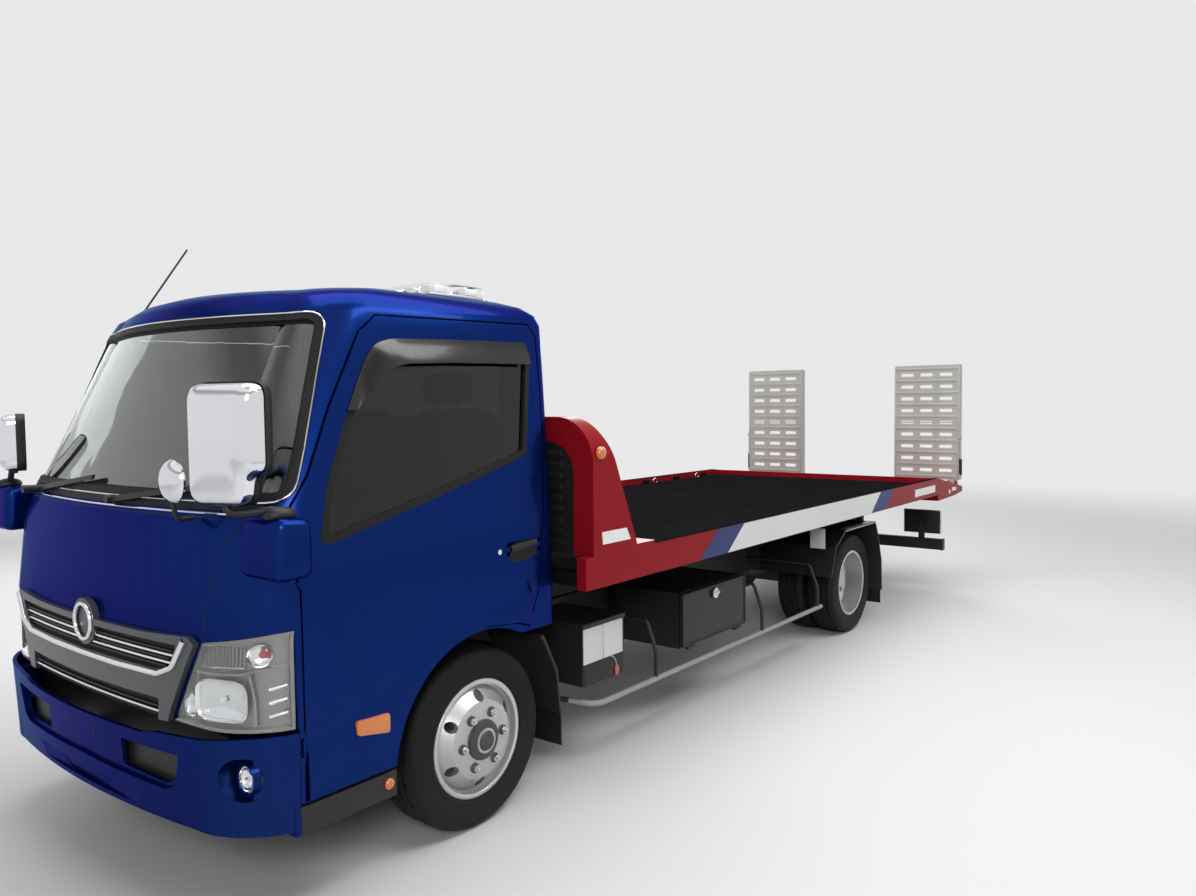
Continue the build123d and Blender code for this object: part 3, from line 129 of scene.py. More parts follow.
def area_light(name, at, towards, size, power, mirrored):
    data = bpy.data.lights.new(name, "AREA")
    data.shape = "RECTANGLE"
    data.size, data.size_y = size
    data.energy = power
    lamp = bpy.data.objects.new(name, data)
    bpy.context.scene.collection.objects.link(lamp)
    lamp.visible_glossy = mirrored
    lamp.location = at
    lamp.rotation_euler = (Vector(towards) - Vector(at)).to_track_quat("-Z", "Y").to_euler()


def sight(tree):
    # One for the rays that show a picture: the camera's, and those off metal and through glass
    rays = tree.nodes.new("ShaderNodeLightPath").outputs
    seen = maths(tree, "MAXIMUM", rays["Is Camera Ray"], rays["Is Glossy Ray"])
    return maths(tree, "MAXIMUM", seen, rays["Is Transmission Ray"])


def make_world():
    world = bpy.data.worlds.new("studio")
    bpy.context.scene.world = world
    world.use_nodes = True
    tree = world.node_tree
    light = tree.nodes["Background"]
    seen = add_node(tree, "Background")
    place = add_node(tree, "TexCoord").outputs["Generated"]
    height = add_node(tree, "SeparateXYZ", {0: place}).outputs["Z"]
    for stops, shown, strength in ((LIGHT_STOPS, light, LIGHT_STRENGTH), (SEEN_STOPS, seen, 1.0)):
        ramp = add_node(tree, "ValToRGB", {"Fac": height})
        marks = ramp.color_ramp.elements
        for mark, (position, grey) in zip((marks[0], marks[1]), (stops[0], stops[-1])):
            mark.position = position
            mark.color = (grey, grey, grey * 1.01, 1)
        for position, grey in stops[1:-1]:
            marks.new(position).color = (grey, grey, grey * 1.01, 1)
        put(tree, shown.inputs["Color"], ramp.outputs["Color"])
        shown.inputs["Strength"].default_value = strength
    mix = add_node(tree, "MixShader", {0: sight(tree), 1: light.outputs[0], 2: seen.outputs[0]})
    put(tree, tree.nodes["World Output"].inputs["Surface"], mix.outputs[0])


def make_floor():
    mesh = bpy.data.meshes.new("floor")
    bm = bmesh.new()
    bmesh.ops.create_grid(bm, x_segments=1, y_segments=1, size=60)
    bm.to_mesh(mesh)
    bm.free()
    floor = bpy.data.objects.new("floor", mesh)
    bpy.context.scene.collection.objects.link(floor)
    mat = shader("floor_pale", (0.70, 0.70, 0.70), rough=0.75, specular=0.2, tone=0.0)
    mesh.materials.append(mat)
    # Further out the floor passes into the backdrop
    tree = mat.node_tree
    place = add_node(tree, "TexCoord").outputs["Object"]
    away = add_node(tree, "VectorMath", {0: place}, operation="LENGTH").outputs["Value"]
    given = {"From Min": FLOOR_FADE[0], "From Max": FLOOR_FADE[1], "Value": away}
    fade = add_node(tree, "MapRange", given, interpolation_type="SMOOTHSTEP").outputs[0]
    glow = add_node(tree, "Emission", {"Color": BACKDROP})
    share = maths(tree, "MULTIPLY", fade, sight(tree))
    mix = add_node(tree, "MixShader",
                   {0: share, 1: tree.nodes["Principled BSDF"].outputs[0], 2: glow.outputs[0]})
    put(tree, tree.nodes["Material Output"].inputs["Surface"], mix.outputs[0])


def make_studio():
    bpy.context.scene.view_settings.view_transform = "Standard"
    for light in LIGHTS:
        area_light(*light)
    make_world()
    make_floor()


# Materials

GROUPS = {}
COLOUR, VALUE = "NodeSocketColor", "NodeSocketFloat"
DUST = (0.23, 0.21, 0.18)
GRAIN_LIFT = 0.002
TREAD_STRENGTH = 0.7


def group(name, inputs, outputs):
    tree = bpy.data.node_groups.new(name, "ShaderNodeTree")
    for label, kind, value in inputs:
        socket = tree.interface.new_socket(name=label, in_out="INPUT", socket_type=kind)
        socket.default_value = value
    for label, kind in outputs:
        tree.interface.new_socket(name=label, in_out="OUTPUT", socket_type=kind)
    GROUPS[name] = tree
    given, out = tree.nodes.new("NodeGroupInput"), tree.nodes.new("NodeGroupOutput")
    return tree, given.outputs, out.inputs


def make_weather_group():
    # Dust that gathers low down and in patches, with a little change in tone and gloss
    tree, given, out = group("weather", (
        ("Clean", COLOUR, (0.5, 0.5, 0.5, 1)), ("Dust", COLOUR, (0.30, 0.27, 0.23, 1)),
        ("Amount", VALUE, 0.3), ("Height", VALUE, 0.7), ("Scale", VALUE, 3.0), ("Tone", VALUE, 0.1),
        ("Gloss", VALUE, 0.4), ("Spread", VALUE, 0.1)),
        (("Color", COLOUR), ("Roughness", VALUE), ("Mask", VALUE)))
    place = add_node(tree, "TexCoord").outputs["Object"]
    height = add_node(tree, "SeparateXYZ", {0: place}).outputs["Z"]
    wide = noise(tree, place, given["Scale"])
    fine = noise(tree, place, 46.0, 6, 0.65)
    low = maths(tree, "SUBTRACT", 1.0, maths(tree, "DIVIDE", height, given["Height"]), True)
    patch = maths(tree, "MULTIPLY", maths(tree, "SUBTRACT", wide, 0.35, True), 1.6)
    cover = maths(tree, "ADD", maths(tree, "MULTIPLY", low, 0.8), maths(tree, "MULTIPLY", patch, 0.45))
    cover = maths(tree, "MULTIPLY", cover, maths(tree, "ADD", fine, 0.45))
    cover = maths(tree, "MULTIPLY", cover, given["Amount"], True)
    tone = maths(tree, "MULTIPLY", maths(tree, "SUBTRACT", wide, 0.5), given["Tone"])
    tone = maths(tree, "ADD", 1.0, maths(tree, "MULTIPLY", tone, 2.0))
    toned = add_node(tree, "VectorMath", {0: given["Clean"], "Scale": tone}, operation="SCALE")
    mix = add_node(tree, "Mix", data_type="RGBA")
    for index, value in ((0, cover), (6, toned.outputs[0]), (7, given["Dust"])):
        put(tree, mix.inputs[index], value)
    rough = maths(tree, "MULTIPLY", maths(tree, "SUBTRACT", fine, 0.5), given["Spread"])
    rough = maths(tree, "ADD", given["Gloss"], rough)
    rough = maths(tree, "ADD", rough, maths(tree, "MULTIPLY", cover, 0.45), True)
    for label, value in (("Color", mix.outputs[2]), ("Roughness", rough), ("Mask", cover)):
        put(tree, out[label], value)


def make_grain_group():
    # Fine unevenness of a cast, moulded or sprayed skin, as a height
    tree, given, out = group("grain", (("Scale", VALUE, 200.0), ("Depth", VALUE, 1.0)), (("Height", VALUE),))
    place = add_node(tree, "TexCoord").outputs["Object"]
    fac = noise(tree, place, given["Scale"], 3, 0.6)
    put(tree, out["Height"], maths(tree, "MULTIPLY", fac, given["Depth"]))


def make_tread_group():
    # Crossed raised bars of chequer plate: a height, and a painted shade that darkens the colour between them
    tree, given, out = group("tread", (("Pitch", VALUE, 0.026), ("Dark", VALUE, 0.35)),
                             (("Height", VALUE), ("Shade", VALUE)))
    place = add_node(tree, "SeparateXYZ", {0: add_node(tree, "TexCoord").outputs["Object"]}).outputs
    waves_per_metre = maths(tree, "DIVIDE", math.tau, given["Pitch"])
    waves = []
    for way in ("ADD", "SUBTRACT"):
        along = maths(tree, way, place["Y"], place["Z"])
        waves.append(maths(tree, "SINE", maths(tree, "MULTIPLY", along, waves_per_metre)))
    high = maths(tree, "MAXIMUM", *waves)
    high = maths(tree, "SMOOTH_MIN", high, maths(tree, "MULTIPLY", high, 0.5))
    lift = maths(tree, "ADD", high, 0.4, True)
    put(tree, out["Height"], lift)
    # Painted shade: the colour is darker where the bars are low
    painted_shade = maths(tree, "MULTIPLY", maths(tree, "SUBTRACT", 1.0, lift, True), given["Dark"])
    put(tree, out["Shade"], maths(tree, "SUBTRACT", 1.0, painted_shade))


def use_group(tree, name, **given):
    made = add_node(tree, "Group", node_tree=GROUPS[name])
    for label, value in given.items():
        made.inputs[label].default_value = value
    return made.outputs


def relief(tree, bsdf, height, strength):
    bump = add_node(tree, "Bump", {"Strength": strength, "Distance": GRAIN_LIFT, "Height": height})
    put(tree, bsdf.inputs["Normal"], bump.outputs["Normal"])


def shader(name, colour, rough=0.5, metal=0.0, coat=0.0, coat_rough=0.04, dust=0.0, height=0.7, tone=0.12,
           scale=3.0, spread=0.12, grain=None, tread=None, clear=0.0, ior=1.5, specular=0.5, edge=(1, 1, 1)):
    # Grain is (scale, strength) and tread is (pitch, depth of the painted shade between the bars)
    mat = bpy.data.materials.new(name)
    mat.use_nodes = True
    tree = mat.node_tree
    bsdf = tree.nodes["Principled BSDF"]
    plain = {"Base Color": (*colour, 1), "Roughness": rough, "Metallic": metal, "IOR": ior,
             "Specular IOR Level": specular, "Specular Tint": (*edge, 1), "Coat Weight": coat,
             "Coat Roughness": coat_rough, "Transmission Weight": clear}
    for label, value in plain.items():
        bsdf.inputs[label].default_value = value
    if clear:
        return mat
    wear = use_group(tree, "weather", Clean=(*colour, 1), Dust=(*DUST, 1), Amount=dust, Height=height,
                     Scale=scale, Tone=tone, Gloss=rough, Spread=spread)
    put(tree, bsdf.inputs["Base Color"], wear["Color"])
    put(tree, bsdf.inputs["Roughness"], wear["Roughness"])
    if grain:
        relief(tree, bsdf, use_group(tree, "grain", Scale=grain[0])["Height"], grain[1])
    if tread:
        bars = use_group(tree, "tread", Pitch=tread[0], Dark=tread[1])
        relief(tree, bsdf, bars["Height"], TREAD_STRENGTH)
        # The tread's painted shade darkens the base colour between the bars
        painted_shade_colour = add_node(tree, "VectorMath", {0: wear["Color"], "Scale": bars["Shade"]}, operation="SCALE")
        put(tree, bsdf.inputs["Base Color"], painted_shade_colour.outputs[0])
    return mat


METALLIC = dict(coat=0.08, coat_rough=0.02, specular=0.05, edge=(0.02, 0.33, 0.80), height=0.9, tone=0.03,
                spread=0.03)
GLASS = dict(rough=0.0, clear=1.0, ior=1.45)
# By the name that the pieces use: the material's own name, its colour, and what differs from plain paint
LOOKS = {
    "cab_paint": ("royal_blue_metallic", (0.003, 0.019, 0.135), dict(
        METALLIC, rough=0.29, metal=0.85, dust=0.012)),
    "bumper_blue": ("bumper_blue", (0.003, 0.018, 0.125), dict(METALLIC, rough=0.31, metal=0.8, dust=0.02)),
    "visor_smoke": ("smoked_visor", (0.010, 0.010, 0.011), dict(rough=0.16, coat=0.15, specular=0.35)),
    "lamp_bezel": ("lamp_bezel_grey", (0.25, 0.25, 0.235), dict(rough=0.32, metal=0.7, spread=0.05)),
    "lamp_silver": ("lamp_reflector", (0.78, 0.79, 0.80), dict(rough=0.13, metal=1.0)),
    "bulb_glass": ("bulb_glass", (0.70, 0.72, 0.72), dict(rough=0.08, coat=1.0)),
    "mirror_silver": ("mirror_glass", (0.75, 0.77, 0.78), dict(rough=0.03, metal=1.0, spread=0.0)),
    "hub_black": ("hub_black_paint", (0.018, 0.018, 0.019), dict(rough=0.38, dust=0.25)),
    "rope_steel": ("wire_rope", (0.34, 0.33, 0.31), dict(
        rough=0.42, metal=0.9, dust=0.2, height=1.6, grain=(500, 0.8))),
    "body_red": ("signal_red_enamel", (0.250, 0.005, 0.010), dict(
        rough=0.34, coat=0.06, specular=0.08, dust=0.03, height=0.8, grain=(90, 0.05))),
    "body_blue": ("stripe_blue", (0.030, 0.045, 0.150), dict(rough=0.4, coat=0.15, specular=0.1, dust=0.06)),
    "chassis_grey": ("chassis_black_paint", (0.010, 0.010, 0.011), dict(
        specular=0.3, dust=0.08, height=1.0, grain=(60, 0.2))),
    "deck_black": ("deck_black_plate", (0.008, 0.008, 0.009), dict(
        rough=0.66, specular=0.0, dust=0.015, height=1.6, grain=(140, 0.3))),
    "guard_grey": ("guard_grey_paint", (0.30, 0.31, 0.32), dict(rough=0.42, dust=0.3, height=0.6)),
    "cast_metal": ("cast_iron_dark", (0.035, 0.034, 0.033), dict(
        rough=0.6, metal=0.4, dust=0.4, height=1.0, grain=(110, 0.5))),
    "machined_steel": ("bright_steel", (0.62, 0.62, 0.63), dict(rough=0.22, metal=1.0, dust=0.05)),
    "wheel_silver": ("wheel_silver_paint", (0.50, 0.50, 0.51), dict(
        rough=0.34, metal=0.75, coat=0.3, dust=0.22, height=0.5)),
    # The ramp's tread paints shade between its raised bars
    "ramp_alloy": ("galvanised_ramp", (0.52, 0.515, 0.475), dict(
        rough=0.55, metal=0.1, dust=0.1, height=2.4, tone=0.2, tread=(0.026, 0.35))),
    "chrome_trim": ("chrome", (0.80, 0.81, 0.83), dict(rough=0.07, metal=1.0, dust=0.02, spread=0.02)),
    "grille_plastic": ("gunmetal_trim", (0.070, 0.075, 0.078), dict(
        rough=0.36, metal=0.5, coat=0.3, dust=0.1, height=0.9)),
    "black_plastic": ("black_plastic", (0.010, 0.010, 0.0105), dict(
        rough=0.45, specular=0.35, dust=0.06, height=0.9, grain=(260, 0.25))),
    "interior_plastic": ("cabin_plastic", (0.055, 0.056, 0.06), dict(rough=0.6, grain=(300, 0.4))),
    "seat_fabric": ("seat_cloth", (0.06, 0.065, 0.075), dict(
        rough=0.85, tone=0.25, scale=40, grain=(420, 0.8))),
    "clear_lens": ("clear_lens", (0.96, 0.97, 0.97), dict(
        rough=0.02, coat=1.0, coat_rough=0.02, clear=1.0, ior=1.03)),
    "red_lens": ("red_lens", (0.42, 0.006, 0.008), dict(rough=0.12, coat=1.0, dust=0.1)),
    "amber_lens": ("amber_lens", (0.62, 0.16, 0.010), dict(rough=0.14, coat=1.0, dust=0.06)),
    "window_glass": ("tinted_glass", (0.25, 0.28, 0.28), GLASS),
    "dark_glass": ("dark_side_glass", (0.030, 0.034, 0.034), GLASS),
    "screen_glass": ("windscreen_glass", (0.42, 0.46, 0.45), dict(GLASS, ior=1.9)),
    "tyre_rubber": ("tyre_rubber", (0.007, 0.007, 0.0075), dict(
        rough=0.60, specular=0.15, dust=0.06, height=0.55, grain=(180, 0.4))),
    "seal_rubber": ("seal_rubber", (0.008, 0.008, 0.0085), dict(rough=0.55, specular=0.2)),
    "white_reflector": ("white_reflector", (0.80, 0.80, 0.78), dict(rough=0.35, dust=0.12, height=1.4)),
    "side_white": ("side_white", (0.66, 0.67, 0.66), dict(rough=0.35, coat=0.5, dust=0.15, height=1.4)),
}
# The CAD pieces that look other than their slot
NODE_LOOKS = {
    "door_glass_left": "dark_glass", "door_glass_right": "dark_glass", "front_bumper": "bumper_blue",
    "windscreen": "screen_glass", "side_guards": "black_plastic", "toolbox": "black_plastic",
    "toolbox_door": "black_plastic",
}


def make_materials():
    make_weather_group()
    make_grain_group()
    make_tread_group()
    return {key: shader(name, colour, **rest) for key, (name, colour, rest) in LOOKS.items()}


def dress_cad_nodes():
    for name, obj in NODES.items():
        obj.data.materials.clear()
        obj.data.materials.append(materials[NODE_LOOKS.get(name, SLOT_OF[name])])


# Mesh tools

MERGE = 0.00002
SHARP = 32
# How much of a span a rounded corner may take, and how wide a strip's raised face is
CORNER_SHARE = 0.45
RAISED_SHARE = 0.86


def finish(bm, name, body, slot, material=None, angle=SHARP, normals=True):
    # Faces that meet at more than the angle, in degrees, keep a sharp edge
    bmesh.ops.remove_doubles(bm, verts=bm.verts, dist=MERGE)
    if normals:
        bmesh.ops.recalc_face_normals(bm, faces=bm.faces)
    mesh = bpy.data.meshes.new(name)
    bm.to_mesh(mesh)
    bm.free()
    for face in mesh.polygons:
        face.use_smooth = True
    mesh.set_sharp_from_angle(angle=math.radians(angle))
    return add_piece(mesh, name, body, slot, material)


def add_piece(mesh, name, body, slot, material=None):
    obj = bpy.data.objects.new(name, mesh)
    bpy.context.scene.collection.objects.link(obj)
    mesh.materials.append(materials[material or slot])
    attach(obj, body)
    return obj


def front(x, y, z):
    return Vector((FRONT_AXLE + x, y, z))


def edges_of(verts):
    return list({e for v in verts for e in v.link_edges})


def bevel(bm, edges, width, segments=2):
    bmesh.ops.bevel(bm, geom=edges, offset=width, segments=segments, affect="EDGES", profile=0.5,
                    material=-1, clamp_overlap=True)


def box(bm, x, y, z, soft=0.0, segments=2):
    middle = Vector(((x[0] + x[1]) / 2, (y[0] + y[1]) / 2, (z[0] + z[1]) / 2))
    size = Matrix.Diagonal((abs(x[1] - x[0]), abs(y[1] - y[0]), abs(z[1] - z[0]), 1))
    made = bmesh.ops.create_cube(bm, size=1, matrix=Matrix.Translation(middle) @ size)["verts"]
    if soft:
        bevel(bm, edges_of(made), soft, segments)


def rod(bm, p, q, r, r2=None, segments=28, soft=0.0):
    along = Vector(q) - Vector(p)
    turn = along.normalized().to_track_quat("Z", "Y").to_matrix().to_4x4()
    place = Matrix.Translation(p) @ turn @ Matrix.Translation((0, 0, along.length / 2))
    made = bmesh.ops.create_cone(bm, cap_ends=True, segments=segments, radius1=r,
                                 radius2=r if r2 is None else r2, depth=along.length, matrix=place)["verts"]
    if soft:
        bevel(bm, [e for e in edges_of(made) if max(len(f.verts) for f in e.link_faces) > 4], soft)


def ball(bm, at, size, segments=24):
    scale = Matrix.Diagonal((*size, 1))
    bmesh.ops.create_uvsphere(bm, u_segments=segments, v_segments=segments // 2, radius=1,
                              matrix=Matrix.Translation(at) @ scale)


def lathe(bm, profile, place, segments=64, close=False):
    # The profile is (radius, height) and turns about the place's Z axis
    before = set(bm.verts)
    verts = [bm.verts.new((r, 0, h)) for r, h in profile]
    edges = [bm.edges.new(pair) for pair in zip(verts, verts[1:])]
    if close:
        edges.append(bm.edges.new((verts[-1], verts[0])))
    bmesh.ops.spin(bm, geom=verts + edges, cent=(0, 0, 0), axis=(0, 0, 1), angle=math.tau, steps=segments,
                   use_merge=True, use_duplicate=False)
    made = [v for v in bm.verts if v not in before]
    bmesh.ops.transform(bm, matrix=place, verts=made)
    return made


def facing(at, out):
    # A place whose Z axis points outward and whose Y axis points up
    z = out.normalized()
    x = Vector((0, 0, 1)).cross(z).normalized()
    return Matrix.Translation(at) @ Matrix((x, z.cross(x), z)).transposed().to_4x4()


def wheel_place(x, y, side):
    return Matrix.Translation((x, y, TYRE_R)) @ Matrix.Rotation(math.radians(-90 * side), 4, "X")


def ring(bm, points):
    verts = [bm.verts.new(p) for p in points]
    return [bm.edges.new((verts[k - 1], verts[k])) for k in range(len(verts))]


def loft(bm, loops, closed=False, ends=()):
    for a, b in list(zip(loops, loops[1:])) + ([(loops[-1], loops[0])] if closed else []):
        bmesh.ops.bridge_loops(bm, edges=a + b)
    for end in ends:
        bmesh.ops.edgeloop_fill(bm, edges=end)


def turns(count, start=0.0):
    return [start + math.tau * k / count for k in range(count)]


def oval(across, high, segments, lift=0.0):
    return [(across * math.cos(a), high * math.sin(a) + lift) for a in turns(segments)]


def circle(r, segments):
    return oval(r, r, segments)


def strip_shape(width, low, high):
    # A flat strip's section: half width across, and its faces' heights
    raised = width * RAISED_SHARE
    return [(-width, low), (width, low), (raised, high), (-raised, high)]


def sweep(bm, path, section, out=(0, 0, 1), closed=False):
    # A section (across, outward) follows a path; out is the outward direction, one for all or one a point
    path = [Vector(p) for p in path]
    outs = out if isinstance(out, list) else [Vector(out)] * len(path)
    rings = []
    for k, p in enumerate(path):
        a = path[k - 1] if (k or closed) else p
        b = path[(k + 1) % len(path)] if (k + 1 < len(path) or closed) else p
        along = (b - a).normalized()
        across = along.cross(outs[k]).normalized()
        up = across.cross(along)
        rings.append(ring(bm, [p + across * u + up * v for u, v in section]))
    loft(bm, rings, closed, () if closed else (rings[0], rings[-1]))


def lay(bm, points, place, section, closed=False):
    # A sweep over a surface: place gives (point, outward direction) for each point
    laid = [place(p) for p in points]
    sweep(bm, [at for at, _ in laid], section, [out for _, out in laid], closed)


def rounded(points, radius, steps=5, closed=True):
    # A path with its corners rounded
    points = [Vector(p) for p in points]
    done = []
    for k, p in enumerate(points):
        if not closed and k in (0, len(points) - 1):
            done.append(p)
            continue
        a, b = points[k - 1], points[(k + 1) % len(points)]
        cut = min(radius, (a - p).length * CORNER_SHARE, (b - p).length * CORNER_SHARE)
        start, end = p + (a - p).normalized() * cut, p + (b - p).normalized() * cut
        for n in range(steps + 1):
            t = n / steps
            done.append(start.lerp(p, t).lerp(p.lerp(end, t), t))
    return done


def dense(points, gap, closed=True):
    # The same path with points no further apart than the gap
    points = [Vector(p) for p in points]
    done = []
    for a, b in zip(points, points[1:] + (points[:1] if closed else [])):
        n = max(1, math.ceil((b - a).length / gap))
        done += [a.lerp(b, k / n) for k in range(n)]
    return done if closed else done + [points[-1]]


def plate(bm, points, thick, soft=0.0):
    # A flat outline pushed along a vector
    face = bm.faces.new([bm.verts.new(p) for p in points])
    made = bmesh.ops.extrude_face_region(bm, geom=[face])["geom"]
    verts = [g for g in made if isinstance(g, bmesh.types.BMVert)]
    bmesh.ops.translate(bm, vec=thick, verts=verts)
    if soft:
        bevel(bm, edges_of(verts), soft)


# Whole pieces of one kind of shape, with x measured from the base

def boxes(name, body, slot, spans, material=None, soft=0.001, segments=2, base=FRONT_AXLE, both=False,
          angle=SHARP):
    bm = bmesh.new()
    for side in (1, -1) if both else (1,):
        for (x0, x1), (y0, y1), z in spans:
            box(bm, (base + x0, base + x1), (side * y0, side * y1), z, soft, segments)
    return finish(bm, name, body, slot, material, angle)


def side_plates(name, body, slot, material, outline, thick, y=MARK_FACE, base=FRONT_AXLE):
    # The same outline (x, z) on both sides, as a thin plate
    bm = bmesh.new()
    for _, side in SIDES:
        plate(bm, [(base + x, side * y, z) for x, z in outline], (0, side * thick, 0))
    finish(bm, name, body, slot, material)


def buttons(name, body, slot, material, profile, at, segments):
    # The same turned piece facing outward on both sides
    bm = bmesh.new()
    for _, side in SIDES:
        place = facing(front(at[0], side * at[1], at[2]), Vector((0, side, 0)))
        lathe(bm, profile, place, segments)
    finish(bm, name, body, slot, material, angle=50)


# The cab's outer form, from the same sections as the part

# Each is height, back, side, the corner curve's end on the side, a place on it, its other end, and front
CAB_LEVELS = (
    (0.415, -0.465, 0.992, 0.845, (0.963, 0.910), (1.038, 0.745), 1.076),
    (0.950, -0.465, 0.992, 0.845, (0.963, 0.910), (1.038, 0.745), 1.076),
    (1.250, -0.465, 0.988, 0.822, (0.935, 0.905), (1.002, 0.725), 1.048),
    (1.400, -0.474, 0.970, 0.800, (0.885, 0.886), (0.958, 0.690), 1.022),
    (2.060, -0.510, 0.900, 0.470, (0.575, 0.826), (0.640, 0.640), 0.772),
    (2.105, -0.500, 0.880, 0.445, (0.550, 0.807), (0.615, 0.622), 0.750),
    (2.140, -0.465, 0.834, 0.395, (0.500, 0.760), (0.565, 0.585), 0.706),
    (2.166, -0.405, 0.748, 0.315, (0.415, 0.672), (0.480, 0.510), 0.625),
    (2.180, -0.320, 0.620, 0.225, (0.320, 0.545), (0.380, 0.410), 0.520),
)
SKIN_HEIGHTS = (0.415, 0.55, 0.70, 0.85, 0.95, 1.02, 1.10, 1.18, 1.25, 1.30, 1.35, 1.40, 1.46, 1.55, 1.68,
                1.82, 1.95, 2.02, 2.06, 2.085, 2.105, 2.123, 2.14, 2.154, 2.166, 2.174, 2.18)
CORNER_R = 0.08
ROOF_MIDDLE = (0.05, 0, 2.18)
ROOF_SHARES = (0.75, 0.4, 0.12)


def between(a, b, share):
    if isinstance(a, tuple):
        return tuple(between(p, q, share) for p, q in zip(a, b))
    return a + (b - a) * share


def level_at(z):
    z = min(max(z, CAB_LEVELS[0][0]), CAB_LEVELS[-1][0])
    low, high = next((a, b) for a, b in zip(CAB_LEVELS, CAB_LEVELS[1:]) if z <= b[0])
    return between(low, high, (z - low[0]) / (high[0] - low[0]))


def arc(p, q, r, count):
    # Points on the arc from p through q to r
    (ax, ay), (bx, by), (cx, cy) = p, q, r
    d = 2 * (ax * (by - cy) + bx * (cy - ay) + cx * (ay - by))
    a2, b2, c2 = ax * ax + ay * ay, bx * bx + by * by, cx * cx + cy * cy
    ux = (a2 * (by - cy) + b2 * (cy - ay) + c2 * (ay - by)) / d
    uy = (a2 * (cx - bx) + b2 * (ax - cx) + c2 * (bx - ax)) / d
    radius = math.hypot(ax - ux, ay - uy)
    start, end = math.atan2(ay - uy, ax - ux), math.atan2(cy - uy, cx - ux)
    turn = (end - start + math.pi) % math.tau - math.pi
    angles = [start + turn * k / count for k in range(count + 1)]
    return [(ux + radius * math.cos(a), uy + radius * math.sin(a)) for a in angles]


def half_section(z):
    # From the middle of the front round the left side to the middle of the back
    _, back, side, start, middle, edge, nose = level_at(z)
    cut = CORNER_R * (1 - math.cos(math.radians(45)))
    inner = back + CORNER_R
    flat = [(start + (inner - start) * t / 10, side) for t in range(1, 10)]
    path = arc((nose, 0), arc(edge, (nose, 0), (edge[0], -edge[1]), 4)[1], edge, 14)
    path += arc(edge, middle, (start, side), 10)[1:] + flat
    path += arc((inner, side), (back + cut, side - cut), (back, side - CORNER_R), 6)
    path += [(back, (side - CORNER_R) / 2), (back, 0)]
    return [front(x, y, z) for x, y in path]


def make_skin():
    # The smooth outer form with softened normals: what the sheet metal's reflections follow
    rings = []
    for z in SKIN_HEIGHTS:
        half = half_section(z)
        rings.append(half + [Vector((p.x, -p.y, p.z)) for p in reversed(half[1:-1])])
    middle = front(*ROOF_MIDDLE)
    rings += [[middle + (p - middle) * share for p in rings[len(SKIN_HEIGHTS) - 1]] for share in ROOF_SHARES]
    bm = bmesh.new()
    loops = [ring(bm, points) for points in rings]
    loft(bm, loops, ends=loops[-1:])
    bmesh.ops.recalc_face_normals(bm, faces=bm.faces)
    bm.normal_update()
    bm.verts.index_update()
    soft = [v.normal.copy() for v in bm.verts]
    near = [[e.other_vert(v).index for e in v.link_edges] for v in bm.verts]
    for _ in range(3):
        sums = [sum((soft[n] for n in beside), Vector()) for beside in near]
        soft = [(own * 2 + total).normalized() for own, total in zip(soft, sums)]
    tree = BVHTree.FromBMesh(bm)
    faces = [[v.index for v in f.verts] for f in bm.faces]
    places = [v.co.copy() for v in bm.verts]
    bm.free()
    return tree, faces, places, soft


def skin_normal(face, at):
    _, faces, places, soft = SKIN
    corners = faces[face]
    weights = poly_3d_calc([places[k] for k in corners], at)
    return sum((soft[k] * w for k, w in zip(corners, weights)), Vector()).normalized()


def on_skin(start, direction, depth=0.0):
    # (place, outward direction) where a ray meets the cab's outer form
    at, _, face, _ = SKIN[0].ray_cast(Vector(start), Vector(direction))
    normal = skin_normal(face, at)
    return at - normal * depth, normal


def on_front(y, z, depth=0.0):
    return on_skin(front(3, y, z), (-1, 0, 0), depth)


def on_side(x, z, side, depth=0.0):
    return on_skin(front(x, side * 3, z), (0, -side, 0), depth)


def on_roof(x, y):
    return on_skin(front(x, y, 4), (0, 0, -1))


def around(length, z, depth=0.0, side=1):
    # The place that far along the skin from the middle of the front, at a height
    path = half_section(z)
    for a, b in zip(path, path[1:]):
        step = (b - a).length
        if length <= step:
            at = a.lerp(b, length / step)
            break
        length -= step
    near, _, face, _ = SKIN[0].find_nearest(at)
    normal = skin_normal(face, near)
    at = at - normal * depth
    return [Vector((p.x, side * p.y, p.z)) for p in (at, normal)]


def skin_patch(bm, corners, count, depth, side=1, thick=0.0):
    # A patch laid on the front: corners are (distance from the middle, height), anticlockwise from low inside
    made = bmesh.ops.create_grid(bm, x_segments=count[0], y_segments=count[1], size=1)["verts"]
    low_in, low_out, high_out, high_in = (Vector(c) for c in corners)
    for v in made:
        u, w = (v.co.x + 1) / 2, (v.co.y + 1) / 2
        s, z = low_in.lerp(low_out, u).lerp(high_in.lerp(high_out, u), w)
        v.co, _ = around(s, z, depth, side)
    if thick:
        bmesh.ops.solidify(bm, geom=list({f for v in made for f in v.link_faces}), thickness=thick)


# How near the smooth form a face counts as outer sheet, and how far inside and how high it counts as lining
SHEET_GAP, SHEET_ALIGNED = 0.004, 0.75
LINING_GAP, LINING_LOW, LINING_ALIGNED = 0.024, 0.82, 0.5
SHEET_MERGE = 0.00001
SHEET_SHARP = 28


